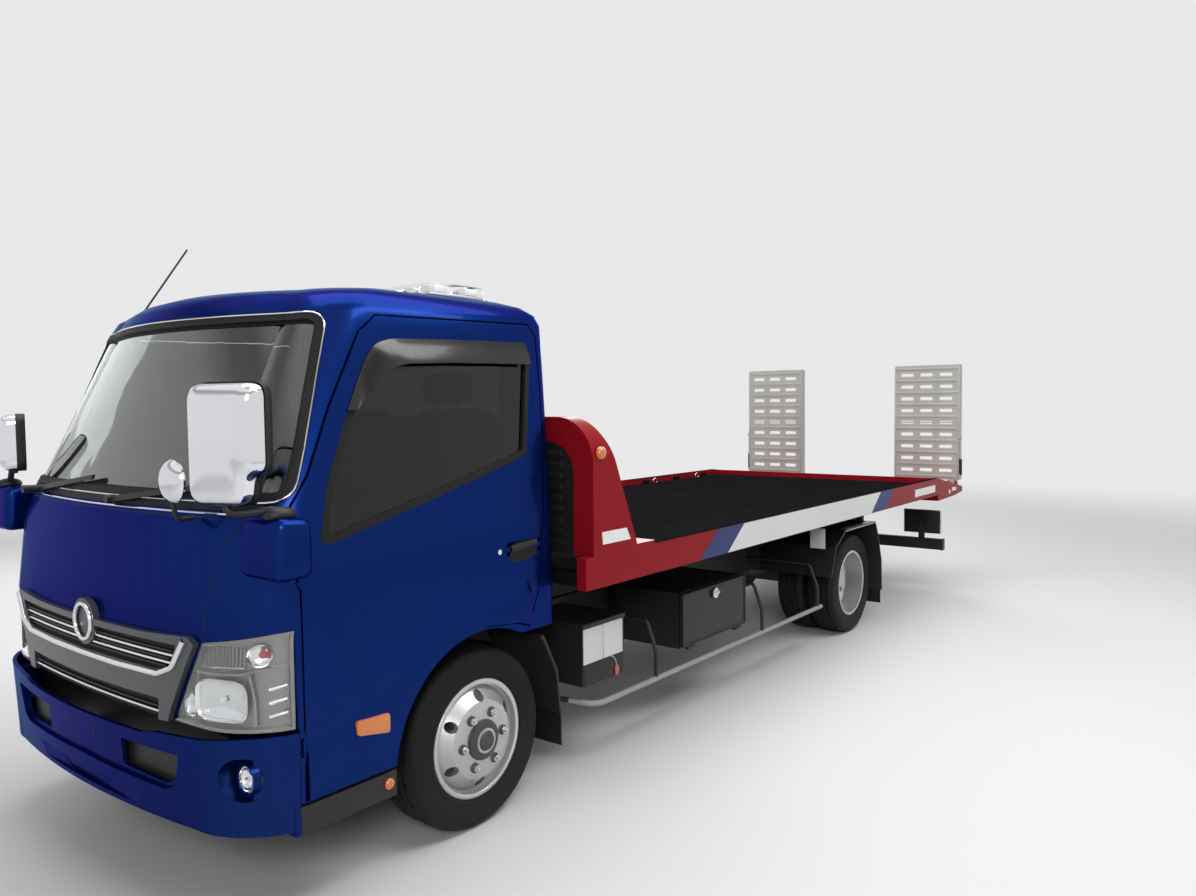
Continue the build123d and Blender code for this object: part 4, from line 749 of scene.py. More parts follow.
def sheet_metal(node, body):
    # A copy of a CAD panel whose outer faces take the smooth form's normals; faces deep inside get the lining
    bm = bmesh.new()
    bm.from_mesh(NODES[node].data)
    bmesh.ops.remove_doubles(bm, verts=bm.verts, dist=SHEET_MERGE)
    mesh = bpy.data.meshes.new(node + "_sheet")
    bm.to_mesh(mesh)
    bm.free()
    for face in mesh.polygons:
        face.use_smooth = True
    mesh.set_sharp_from_angle(angle=math.radians(SHEET_SHARP))
    mesh.materials.clear()
    normals = [Vector(n.vector) for n in mesh.corner_normals]
    inside = []
    for face in mesh.polygons:
        near, _, index, gap = SKIN[0].find_nearest(face.center)
        aligned = face.normal.dot(skin_normal(index, near))
        if gap < SHEET_GAP and aligned > SHEET_ALIGNED:
            for k in face.loop_indices:
                corner = mesh.vertices[mesh.loops[k].vertex_index].co
                at, _, index, _ = SKIN[0].find_nearest(corner)
                normals[k] = skin_normal(index, at)
        if gap > LINING_GAP and face.center.z > LINING_LOW and aligned < LINING_ALIGNED:
            inside.append(face.index)
    obj = add_piece(mesh, node + "_sheet", body, "cab_paint")
    mesh.materials.append(materials["interior_plastic"])
    for k in inside:
        mesh.polygons[k].material_index = 1
    mesh.normals_split_custom_set(normals)
    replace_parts(obj, node)


# Cab

# How far apart the points of a path over the skin are, and of the paths at the lamps
PATH_GAP, LAMP_GAP = 0.05, 0.04
WINDOW = ((0.742, 1.262), (0.690, 1.460), (0.600, 1.660), (0.455, 1.925), (-0.335, 1.962), (-0.356, 1.900),
          (-0.285, 1.512), (0.264, 1.372))
SCREEN = ((0.925, 1.425), (0.895, 1.600), (0.800, 2.030), (-0.800, 2.030), (-0.895, 1.600), (-0.925, 1.425))
SCREEN_MIDDLE = 1.73
VISOR_TOP = ((0.596, 1.700), (0.548, 1.800), (0.500, 1.888), (0.455, 1.940), (0.380, 1.962), (0.100, 1.972),
             (-0.345, 1.980))
VISOR_EDGE = ((0.570, 1.700), (0.500, 1.770), (0.446, 1.822), (0.400, 1.852), (0.330, 1.868), (0.100, 1.878),
              (-0.345, 1.884))
HANDLE_CUP = ((-0.148, 1.064), (-0.312, 1.071), (-0.328, 1.150), (-0.160, 1.144))
SEAM_SHAPE = (-0.004, 0.0006)
FRONT_SEAM = ((0, 0.735, 0.958), (0, 0.757, 1.127), (0, 0.837, 1.351))


def side_path(points, closed=True):
    return dense(rounded([(x, 0, z) for x, z in points], 0.03, closed=closed), PATH_GAP, closed)


def make_windows():
    for name, side in SIDES:
        door = name + "_door"
        sheet_metal("door_" + name, door)
        bm = bmesh.new()
        edge = side_path(WINDOW)
        lay(bm, edge, lambda p: on_side(p.x, p.z, side), strip_shape(0.015, -0.013, 0.003), True)
        finish(bm, "window_seal_" + name, door, "black_plastic", "seal_rubber")

        # The rain visor runs through three rails laid off the skin
        middle = [((a[0] + b[0]) / 2, (a[1] + b[1]) / 2) for a, b in zip(VISOR_TOP, VISOR_EDGE)]
        rails = [[on_side(p.x, p.z, side, -off)[0] for p in side_path(points, False)]
                 for points, off in ((VISOR_TOP, 0.003), (middle, 0.021), (VISOR_EDGE, 0.030))]
        count = min(len(rail) for rail in rails)
        bm = bmesh.new()
        loops = []
        for rail in rails:
            verts = [bm.verts.new(rail[round(k * (len(rail) - 1) / (count - 1))]) for k in range(count)]
            loops.append([bm.edges.new(pair) for pair in zip(verts, verts[1:])])
        loft(bm, loops)
        bmesh.ops.solidify(bm, geom=bm.faces[:], thickness=0.0025)
        finish(bm, "rain_visor_" + name, door, "black_plastic", "visor_smoke")

        bm = bmesh.new()
        at, out = on_side(-0.092, 1.118, side)
        rod(bm, at - out * 0.002, at + out * 0.004, 0.011, soft=0.0015)
        finish(bm, "door_lock_" + name, door, "chrome_trim")

    # Windscreen: outer seal, the strip inside it, and the bright line between them
    def screen_ring(bm, grow, radius, section):
        points = [(0, y + math.copysign(grow, y), z + math.copysign(grow, z - SCREEN_MIDDLE))
                  for y, z in SCREEN]
        lay(bm, dense(rounded(points, radius), PATH_GAP), lambda p: on_front(p.y, p.z), section, True)

    bm = bmesh.new()
    screen_ring(bm, 0.012, 0.06, strip_shape(0.020, -0.014, 0.004))
    screen_ring(bm, 0.014, 0.05, [(-0.030, -0.0095), (0.022, -0.0095), (0.022, -0.006), (-0.030, -0.0085)])
    finish(bm, "windscreen_seal", "cab", "black_plastic", "seal_rubber")
    bm = bmesh.new()
    screen_ring(bm, 0.022, 0.065, oval(0.0032, 0.0032, 8, 0.004))
    finish(bm, "windscreen_trim", "cab", "chrome_trim")


def make_cab_trim():
    gutters, plugs = bmesh.new(), bmesh.new()
    for _, side in SIDES:
        for off in (0.0, 0.026):
            line = [(0.640 - off + 0.045 * min(k, 4) / 4, 0.415 - k * 0.05) for k in range(17)]
            lay(gutters, line, lambda p: on_roof(p[1], side * p[0]), strip_shape(0.0042, -0.003, 0.0010))
        for x in (0.125, 0.053, -0.335, -0.395):
            at, out = on_roof(x, side * 0.700)
            rod(plugs, at - out * 0.002, at + out * 0.005, 0.010, 0.007, segments=16)
    finish(gutters, "roof_gutters", "cab", "black_plastic", "seal_rubber")
    finish(plugs, "roof_plugs", "cab", "black_plastic", "seal_rubber")

    for name, side in SIDES:
        bm = bmesh.new()
        cup = rounded([(x, 0, z) for x, z in HANDLE_CUP], 0.03)
        face = bm.faces.new([bm.verts.new(on_side(p.x, p.z, side, -0.0008)[0]) for p in cup])
        bmesh.ops.solidify(bm, geom=[face], thickness=-0.002 * side)
        finish(bm, "handle_cup_" + name, name + "_door", "black_plastic", "seal_rubber")
        bm = bmesh.new()
        grip = [(-0.158 - k * 0.0155, 1.121 + 0.0012 * k) for k in range(11)]
        lay(bm, grip, lambda p: on_side(p[0], p[1], side, -0.004), oval(0.014, 0.006, 14))
        finish(bm, "handle_pull_" + name, name + "_door", "black_plastic")

    # Scuttle under the windscreen, and the shut lines of the front panel
    bm = bmesh.new()
    line = [(k * 0.0465, 1.3935) for k in range(-19, 20)]
    lay(bm, line, lambda p: on_front(*p), strip_shape(0.020, -0.004, 0.005))
    finish(bm, "scuttle", "cab", "black_plastic", "seal_rubber")
    bm = bmesh.new()
    line = [(k * 0.045, 1.366) for k in range(-20, 21)]
    lay(bm, line, lambda p: on_front(*p), oval(0.004, 0.004, 8, 0.002))
    finish(bm, "scuttle_trim", "cab", "chrome_trim")
    bm = bmesh.new()
    seam = dense(FRONT_SEAM, LAMP_GAP, False)
    for _, side in SIDES:
        lay(bm, seam, lambda p: on_front(side * p.y, p.z), strip_shape(0.0025, *SEAM_SHAPE))
    across = dense([(0, y, 1.352) for y in (-0.837, 0.837)], PATH_GAP, False)
    lay(bm, across, lambda p: on_front(p.y, p.z), strip_shape(0.0022, *SEAM_SHAPE))
    finish(bm, "panel_seams", "cab", "black_plastic", "seal_rubber")


def bowl(bm, place, width, height, depth, square=False):
    # Half a ball, open towards the place's Z axis; a square one has its rim pushed out into corners
    made = bmesh.ops.create_uvsphere(bm, u_segments=36, v_segments=12, radius=1)["verts"]
    faces = list({f for v in made for f in v.link_faces})
    cut = bmesh.ops.bisect_plane(bm, geom=made + edges_of(made) + faces, plane_co=(0, 0, 0),
                                 plane_no=(0, 0, 1), clear_outer=True)
    left = {g for g in cut["geom"] + cut["geom_cut"] if isinstance(g, bmesh.types.BMVert) and g.is_valid}
    for v in left:
        r = math.hypot(v.co.x, v.co.y)
        if square and r > 0.001:
            grow = (abs(v.co.x / r) ** 4 + abs(v.co.y / r) ** 4) ** -0.25
            v.co.x *= grow
            v.co.y *= grow
    bmesh.ops.transform(bm, matrix=place @ Matrix.Diagonal((width, height, depth, 1)), verts=list(left))


# Places on the lamps are (distance along the skin from the middle of the front, height)
LAMP = ((0.574, 0.670), (1.052, 0.670), (1.052, 0.988), (0.735, 0.949))
LAMP_BARS = (
    ((0.645, 0.850), (0.895, 0.857), (0.935, 0.868), (1.050, 0.878)),
    ((0.932, 0.688), (0.929, 0.780), (0.914, 0.856)),
    ((0.694, 0.688), (0.691, 0.780), (0.703, 0.850)),
)
LAMP_RIM_SHAPE = [(-0.008, -0.029), (0.004, -0.029), (0.004, -0.003), (-0.008, -0.003)]
LAMP_BAR_SHAPE = [(-0.006, -0.028), (0.006, -0.028), (0.004, -0.007), (-0.004, -0.007)]
MAIN_LAMP, SIDE_LAMP = (0.812, 0.769), (0.656, 0.742)
# Place, half width, half height, and whether it is square
LAMP_BOWLS = ((*MAIN_LAMP, 0.104, 0.070, True), (*SIDE_LAMP, 0.031, 0.048, True),
              (0.950, 0.917, 0.041, 0.038, False))


def make_headlamps():
    for name, side in SIDES:
        def at(s, z, depth):
            return around(s, z, depth, side)

        def on_lamp(p):
            return at(p.x, p.y, 0.0)

        bm = bmesh.new()
        skin_patch(bm, LAMP, (14, 8), 0.0005, side, thick=0.003)
        lens = finish(bm, "headlamp_lens_" + name, "cab", "clear_lens", angle=60)
        if side > 0:
            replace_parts(lens, "headlamps")

        # Bezel: floor, rim, bars between the lamps, and the fine ribs of the upper strip
        bm = bmesh.new()
        skin_patch(bm, LAMP, (14, 8), 0.028, side)
        lay(bm, dense([(s, z, 0) for s, z in LAMP], LAMP_GAP), on_lamp, LAMP_RIM_SHAPE, True)
        for bar in LAMP_BARS:
            lay(bm, dense([(s, z, 0) for s, z in bar], LAMP_GAP, False), on_lamp, LAMP_BAR_SHAPE)
        for k in range(14):
            low, _ = at(0.705 + k * 0.0145, 0.872, 0.0262)
            high, _ = at(0.709 + k * 0.0145, 0.942, 0.0262)
            rod(bm, low, high, 0.0028, segments=6)
        finish(bm, "headlamp_bezel_" + name, "cab", "grille_plastic", "lamp_bezel", angle=40)

        # Reflectors, the steps of the outer lamp and the bar of the upper strip
        bm = bmesh.new()
        for s, z, width, height, square in LAMP_BOWLS:
            bowl(bm, facing(*at(s, z, 0.006)), width, height, 0.021, square)
        for z in (0.712, 0.757, 0.802):
            rod(bm, at(0.975, z, 0.020)[0], at(1.036, z + 0.014, 0.012)[0], 0.009, 0.006, segments=10)
        rod(bm, at(0.760, 0.870, 0.022)[0], at(0.895, 0.874, 0.022)[0], 0.004, segments=8)
        finish(bm, "headlamp_reflectors_" + name, "cab", "clear_lens", "lamp_silver", angle=50, normals=False)
        bm = bmesh.new()
        for lamp, long, r, r2 in ((MAIN_LAMP, 0.012, 0.011, 0.008), (SIDE_LAMP, 0.008, 0.007, 0.007)):
            place, out = at(*lamp, 0.020)
            rod(bm, place, place + out * long, r, r2, segments=16, soft=0.002)
        finish(bm, "headlamp_bulbs_" + name, "cab", "clear_lens", "bulb_glass")
        bm = bmesh.new()
        ball(bm, at(0.957, 0.919, 0.014)[0], (0.012, 0.012, 0.012), 16)
        finish(bm, "indicator_bulb_" + name, "cab", "red_lens")


FOG_LENS = ((0.0, 0.018), (0.018, 0.016), (0.034, 0.010), (0.0455, 0.0), (0.0455, -0.030), (0.0, -0.030))


def make_front():
    # Dark backing and slats behind the grille's openings
    bm = bmesh.new()
    for _, side in SIDES:
        skin_patch(bm, ((0.0, 0.824), (0.530, 0.828), (0.622, 0.934), (0.0, 0.930)), (14, 4), -0.002, side)
        skin_patch(bm, ((0.0, 0.668), (0.506, 0.668), (0.506, 0.730), (0.0, 0.730)), (14, 2), -0.002, side)
    finish(bm, "grille_backing", "cab", "grille_plastic", "seal_rubber", angle=60)
    bm = bmesh.new()
    for z, half in ((0.906, 0.590), (0.879, 0.570), (0.852, 0.545), (0.706, 0.49)):
        lay(bm, [(half * k / 12, z) for k in range(-12, 13)], lambda p: on_front(*p),
            [(-0.005, 0.001), (0.005, 0.001), (0.003, 0.012), (-0.003, 0.012)])
    finish(bm, "grille_slats", "cab", "grille_plastic", "black_plastic")

    # Fog lamps: reflector and lens in place of the plain solids
    for name, side in SIDES:
        at = front(0.984, side * 0.892, 0.520)
        ahead = Vector((1, 0, 0))
        bm = bmesh.new()
        bowl(bm, facing(at, ahead), 0.043, 0.043, 0.024)
        rod(bm, at - ahead * 0.018, at + ahead * 0.002, 0.008, segments=12)
        finish(bm, "fog_reflector_" + name, "chassis", "clear_lens", "lamp_silver", angle=50, normals=False)
        bm = bmesh.new()
        lathe(bm, FOG_LENS, facing(at, ahead), 32)
        lens = finish(bm, "fog_lens_" + name, "chassis", "clear_lens", angle=40)
        if side > 0:
            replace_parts(lens, "fog_lamps")
        bm = bmesh.new()
        sweep(bm, [at + Vector((0.002, y, z)) for y, z in circle(0.0495, 32)],
              [(-0.004, -0.02), (0.004, -0.02), (0.003, 0.006), (-0.003, 0.006)], (1, 0, 0), True)
        finish(bm, "fog_ring_" + name, "chassis", "chrome_trim", "bumper_blue")


# The head's height, width and middle, the arm's path, and its outward direction
MIRRORS = {
    "left": (0.375, 0.25, (1.064, 0.968, 1.605),
             ((0.950, 1.070, 1.370), (0.965, 1.066, 1.402), (1.040, 0.990, 1.392), (1.062, 0.958, 1.396),
              (1.062, 0.945, 1.455)), (0, 0.3, 0.1)),
    "right": (0.25, 0.20, (0.960, 1.010, 1.575),
              ((0.950, 1.060, 1.370), (0.950, 1.052, 1.420), (0.950, 1.020, 1.470)), (1, 0, 0)),
}
MIRROR_TURN = math.radians(20)
# Distance ahead of the head's middle, and size as a share of its outline
SHELL_STEPS = ((-0.030, 1.0), (0.000, 0.995), (0.020, 0.965), (0.034, 0.89), (0.043, 0.72), (0.046, 0.36))
RIM_STEPS = ((-0.022, 1.02), (-0.054, 1.02), (-0.058, 0.98), (-0.050, 0.93))
POD_BACK, POD_FRONT, POD_NOTCH = 0.884, 1.018, 0.012


def make_mirror_pod(name, side):
    # Body-coloured pod under the mirror, drawn in a little at its top
    bm = bmesh.new()
    for v in bmesh.ops.create_cube(bm, size=1)["verts"]:
        high, ahead = v.co.z > 0, v.co.x > 0
        v.co.x = FRONT_AXLE + (POD_FRONT - (POD_NOTCH if high else 0) if ahead else POD_BACK)
        v.co.y = side * (1.148 if v.co.y > 0 else 0.925)
        v.co.z = (1.382 if ahead else 1.372) if high else 1.186
    bmesh.ops.subdivide_edges(bm, edges=bm.edges[:], cuts=2, use_grid_fill=True)
    bevel(bm, [e for e in bm.edges if e.calc_face_angle(0) > 1.0], 0.030, 4)
    finish(bm, "mirror_pod_" + name, "cab", "cab_paint", angle=50)


def make_mirrors():
    for name, side in SIDES:
        make_mirror_pod(name, side)
        high, wide, at, arm, outward = MIRRORS[name]
        y0, y1 = at[1] - wide / 2, at[1] + wide / 2
        z0, z1 = at[2] - high / 2, at[2] + high / 2
        notch = ((y1, z0),)
        if side > 0:
            notch = ((y1, z0 + high * 0.30), (y1 - 0.040, z0 + high * 0.22), (y1 - 0.052, z0))
        flat = rounded([(0, side * y, z) for y, z in ((y0, z0), (y0, z1), (y1, z1), *notch)], 0.045, 6)
        pivot = front(at[0], side * at[1], 0)
        middle = front(at[0], side * at[1], at[2])
        centre = Vector((0, side * at[1], at[2]))

        def outline(depth, share):
            return [middle + Vector((depth, 0, 0)) + (p - centre) * share for p in flat]

        def turned(bm, piece, material=None, slot="chrome_trim", angle=60):
            turn = Matrix.Rotation(side * MIRROR_TURN, 3, "Z")
            bmesh.ops.rotate(bm, verts=bm.verts, cent=pivot, matrix=turn)
            return finish(bm, f"mirror_{piece}_{name}", "cab", slot, material, angle)

        # Chrome shell, narrower towards the front, and the black rim round the glass behind it
        bm = bmesh.new()
        loops = [ring(bm, outline(*step)) for step in SHELL_STEPS]
        loft(bm, loops, ends=(loops[0], loops[-1]))
        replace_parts(turned(bm, "shell"), "mirror_" + name)
        bm = bmesh.new()
        loft(bm, [ring(bm, outline(*step)) for step in RIM_STEPS], closed=True)
        turned(bm, "rim", slot="black_plastic")
        bm = bmesh.new()
        plate(bm, outline(-0.054, 0.95), (0.004, 0, 0))
        turned(bm, "glass", "mirror_silver", angle=SHARP)

        bm = bmesh.new()
        path = rounded([front(x, side * y, z) for x, y, z in arm], 0.03, closed=False)
        sweep(bm, path, circle(0.0125, 14), (outward[0], side * outward[1], outward[2]))
        ball(bm, (path[0].x + 0.004, path[0].y, 1.386), (0.052, 0.040, 0.026))
        end = path[-1]
        rod(bm, end - Vector((0, 0, 0.035)), end + Vector((0, 0, 0.01)), 0.019, soft=0.003)
        finish(bm, "mirror_arm_" + name, "cab", "black_plastic", angle=50)

    # Domed mirror at the front corner
    bm = bmesh.new()
    place = Matrix.Translation(front(1.085, 0.665, 1.480)) @ Matrix.Rotation(math.radians(90), 4, "Y")
    lathe(bm, ((0.0, 0.030), (0.025, 0.028), (0.048, 0.020), (0.064, 0.008), (0.072, -0.004), (0.070, -0.012),
               (0.0, -0.012)), place, 40)
    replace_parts(finish(bm, "domed_mirror", "cab", "chrome_trim", angle=45), "front_mirror")
    bm = bmesh.new()
    stay = rounded([front(1.000, 0.640, 1.352), front(1.062, 0.655, 1.352), front(1.080, 0.662, 1.400),
                    front(1.080, 0.665, 1.455)], 0.02, closed=False)
    sweep(bm, stay, circle(0.008, 10), (0, 1, 0))
    rod(bm, stay[-1], stay[-1] + Vector((0, 0, 0.05)), 0.014, soft=0.003)
    finish(bm, "domed_mirror_stay", "cab", "black_plastic", angle=50)


BAR_X = (-0.425, -0.105)
LAMP_ROWS = (0.03, 0.21)


def make_roof():
    bm = bmesh.new()
    x = (FRONT_AXLE + BAR_X[0], FRONT_AXLE + BAR_X[1])
    box(bm, x, (-0.595, 0.595), (2.190, 2.206), 0.006, 4)
    for _, side in SIDES:
        box(bm, (FRONT_AXLE - 0.33, FRONT_AXLE - 0.20), (side * 0.47, side * 0.53), (2.150, 2.194), 0.006, 4)
    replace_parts(finish(bm, "light_bar_base", "cab", "chrome_trim", "wheel_silver"), "light_bar")
    boxes("light_bar_dome", "cab", "clear_lens", [(BAR_X, (-0.600, 0.600), (2.2065, 2.2495))], soft=0.017,
          segments=4, angle=50)
    rows = [(BAR_X[0] + row, BAR_X[0] + row + 0.075) for row in LAMP_ROWS]
    middles = [-0.52 + k * 0.1155 for k in range(10)]
    spans = [(row, (y - 0.042, y + 0.042), (2.2085, 2.238)) for y in middles for row in rows]
    boxes("light_bar_lamps", "cab", "clear_lens", spans, "lamp_silver", 0.006)
    spans = [((a - 0.002, b + 0.002), (0.542, 0.582), (2.2085, 2.240)) for a, b in rows]
    boxes("light_bar_end_lamps", "cab", "clear_lens", spans, "bulb_glass", 0.006, both=True)


# Middle and width of the driver's, the middle and the outer seat, and the height of the seat's underside
SEATS = ((0.520, 0.40, 1.0), (-0.150, 0.30, 1.06), (-0.600, 0.46, 1.0))
BACKREST_LEAN = 0.06


def make_cabin():
    bm = bmesh.new()
    for y, wide, low in SEATS:
        made = []
        for x, z, lean in (((-0.24, 0.17), (low, 1.145), 0), ((-0.30, -0.18), (1.16, 1.70), BACKREST_LEAN)):
            cushion = bmesh.ops.create_cube(bm, size=1)["verts"]
            for v in cushion:
                v.co = front(x[v.co.x > 0] - (lean if v.co.z > 0 else 0), y + math.copysign(wide / 2, v.co.y),
                             z[v.co.z > 0])
            made += cushion
        bevel(bm, edges_of(made), 0.035, 3)
    seats = finish(bm, "seat_cushions", "cab", "seat_fabric", angle=50)
    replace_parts(seats, "seats")

    # Seat boxes, head rests and their stays
    bm = bmesh.new()
    for y, wide in ((0.520, 0.34), (-0.600, 0.40)):
        box(bm, (FRONT_AXLE - 0.20, FRONT_AXLE + 0.14), (y - wide / 2, y + wide / 2), (0.842, 1.002), 0.01)
        for s in (-0.07, 0.07):
            rod(bm, front(-0.245, y + s, 1.66), front(-0.25, y + s, 1.74), 0.006, segments=10)
        box(bm, (FRONT_AXLE - 0.30, FRONT_AXLE - 0.21), (y - 0.13, y + 0.13), (1.725, 1.86), 0.03, 4)
    box(bm, (FRONT_AXLE - 0.20, FRONT_AXLE + 0.12), (-0.27, -0.03), (1.0615, 1.066), 0.001)
    finish(bm, "seat_frames", "cab", "interior_plastic", angle=50)

    # Instrument hood, and the radio's place on the dashboard
    bm = bmesh.new()
    box(bm, (FRONT_AXLE + 0.66, FRONT_AXLE + 0.80), (0.36, 0.70), (1.20, 1.335), 0.03, 4)
    box(bm, (FRONT_AXLE + 0.575, FRONT_AXLE + 0.62), (-0.12, 0.12), (1.085, 1.150), 0.008, 4)
    finish(bm, "instrument_hood", "cab", "interior_plastic", "seal_rubber", angle=50)


# Wheels

# Half the tyre's outline as (radius, distance from its middle): bead, side wall, shoulder and grooves
TYRE_HALF = (
    (0.231, 0.0842), (0.241, 0.0842), (0.243, 0.0965), (0.252, 0.1000), (0.262, 0.1012), (0.268, 0.0996),
    (0.275, 0.1020), (0.300, 0.1025), (0.318, 0.1022), (0.320, 0.1006), (0.326, 0.1004), (0.333, 0.1005),
    (0.347, 0.0960), (0.361, 0.0805), (0.3655, 0.0660), (0.3662, 0.0560), (0.3575, 0.0545), (0.3575, 0.0475),
    (0.3668, 0.0460), (0.3668, 0.0195), (0.3575, 0.0180), (0.3575, 0.0110), (0.36694, 0.0095), (0.36694, 0.0))
TYRE_STEPS = 96
SHOULDER_R, SHOULDER_Y = 0.3655, 0.050
RIM_LIP = ((0.2215, 0.0915), (0.2245, 0.0950), (0.2300, 0.0962), (0.2345, 0.0940), (0.2345, 0.0915))
FRONT_HUB = ((0.0, 0.036), (0.022, 0.035), (0.035, 0.030), (0.0405, 0.022), (0.043, 0.0175), (0.060, 0.0170),
             (0.072, 0.0145), (0.079, 0.010), (0.081, 0.004), (0.0, 0.004))
REAR_HUB = ((0.0, 0.075), (0.040, 0.074), (0.056, 0.066), (0.060, 0.0625), (0.064, 0.060), (0.064, 0.004),
            (0.0, 0.004))
# Axle, its x, the tyres' middles, the CAD tyre, the nut face's y, nut circle, first nut's angle, and the hub
AXLES = (
    ("front", FRONT_AXLE, (WHEEL_Y,), "wheel", "tyre_front_", 0.968, 0.112, -0.07, FRONT_HUB),
    ("rear", REAR_AXLE, (WHEEL_Y, INNER_WHEEL_Y), "wheels", "tyres_rear_", 0.732, 0.098, 0.3, REAR_HUB),
)


def tyre(bm, x, y):
    centre = Vector((x, y, TYRE_R))
    profile = list(TYRE_HALF) + [(r, -h) for r, h in reversed(TYRE_HALF[:-1])]
    made = lathe(bm, profile, wheel_place(x, y, -1), TYRE_STEPS, close=True)
    # Every fourth span of the shoulder is a notch
    notches = []
    for f in {f for v in made for f in v.link_faces}:
        middle = f.calc_center_median() - centre
        step = int((math.atan2(middle.z, middle.x) + math.pi) / math.tau * TYRE_STEPS + 0.001)
        if math.hypot(middle.x, middle.z) > SHOULDER_R and abs(middle.y) > SHOULDER_Y and step % 4 == 0:
            notches.append(f)
    for f in bmesh.ops.extrude_discrete_faces(bm, faces=notches)["faces"]:
        middle = f.calc_center_median() - centre
        inward = Vector((-middle.x, 0, -middle.z)).normalized() * 0.008
        bmesh.ops.translate(bm, vec=inward, verts=f.verts[:])


def make_tyres(name, side):
    for axle, x, middles, wheel, node, *_ in AXLES:
        bm = bmesh.new()
        for y in middles:
            tyre(bm, x, side * y)
        tread = finish(bm, f"tyre_tread_{axle}_{name}", f"{axle}_{name}_{wheel}", "tyre_rubber", angle=30,
                       normals=False)
        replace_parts(tread, node + name)


def make_wheel_fittings(name, side):
    # Bright rim lip, nuts with their washers, and the hub's cap
    out = Vector((0, side, 0))
    for axle, x, _, wheel, _, face, nut_circle, first, hub_shape in AXLES:
        body = f"{axle}_{name}_{wheel}"
        lip, nuts, washers, hub = (bmesh.new() for _ in range(4))
        lathe(lip, RIM_LIP, wheel_place(x, side * WHEEL_Y, side), TYRE_STEPS, close=True)
        for a in turns(6, first):
            p = Vector((x + nut_circle * math.cos(a), side * face, TYRE_R + nut_circle * math.sin(a)))
            rod(washers, p - out * 0.002, p + out * 0.005, 0.0205, segments=24, soft=0.001)
            rod(nuts, p, p + out * 0.019, 0.0145, segments=6, soft=0.0015)
            rod(nuts, p, p + out * 0.028, 0.008, segments=12, soft=0.001)
        lathe(hub, hub_shape, wheel_place(x, side * face, side), 40)
        if axle == "rear":
            for u, v in circle(0.050, 8):
                p = Vector((x + u, side * (face + 0.066), TYRE_R + v))
                rod(hub, p, p + out * 0.009, 0.0055, segments=6)
        finish(lip, f"rim_lip_{axle}_{name}", body, "machined_steel", angle=50)
        finish(nuts, f"wheel_nuts_{axle}_{name}", body, "machined_steel", angle=30)
        finish(washers, f"nut_washers_{axle}_{name}", body, "cast_metal", angle=30)
        finish(hub, f"hub_cap_{axle}_{name}", body, "cast_metal", "hub_black")


# Recovery body

RAIL_LOW, RAIL_HIGH = 0.904, 1.043
# Painted panels of the side rails: x from the front axle at the lower and the upper edge
RAIL_PANELS = (
    ("rail_white_panel", (-1.720, -3.805), (-1.905, -3.990), "side_white"),
    ("rail_blue_band_front", (-1.435, -1.720), (-1.620, -1.905), None),
    ("rail_blue_band_rear", (-3.805, -4.085), (-3.990, -4.270), None),
)
DRUM = (-0.900, 0, 1.115)
GUIDE_X = -1.035
# Place and outline of the black sheet that paints the shade in the headboard's opening
SHADE_SHEET_X = -0.555
SHADE_SHEET_OUTLINE = ((-1.012, 1.046), (1.012, 1.046), (1.030, 1.500), (0.960, 1.570), (-0.960, 1.570),
                 (-1.030, 1.500))
WORK_LAMPS = (-0.62, 0.62)


def make_rails():
    for name, low, high, material in RAIL_PANELS:
        outline = ((low[0], RAIL_LOW), (low[1], RAIL_LOW), (high[1], RAIL_HIGH), (high[0], RAIL_HIGH))
        side_plates(name, "tray", "body_blue", material, outline, 0.001, RAIL_FACE)
    side_plates("rail_reflector", "tray", "body_blue", "white_reflector",
                ((-4.745, 0.935), (-5.252, 0.935), (-5.252, 0.995), (-4.745, 0.995)), 0.002, RAIL_FACE)
    # Wear strip on top of each rail, pads along its inside, and the lashing rings
    bm = bmesh.new()
    for _, side in SIDES:
        box(bm, (TAIL + 0.812, FRONT_AXLE - 0.60), (side * 1.072, side * 1.1195), (1.0445, 1.0475), 0.001)
        for k in range(9):
            x = FRONT_AXLE - 1.1 - k * 0.5
            box(bm, (x - 0.05, x + 0.05), (side * 1.060, side * 1.0705), (0.975, 1.030), 0.003, 4)
    finish(bm, "rail_wear_strip", "tray", "deck_black")
    bm = bmesh.new()
    for _, side in SIDES:
        for k in range(6):
            path = [front(-1.35 - k * 0.72 + u, side * 1.056, 1.012 + v) for u, v in oval(0.028, 0.024, 20)]
            sweep(bm, path, circle(0.0048, 8), (0, 1, 0), True)
    finish(bm, "lashing_rings", "tray", "machined_steel")


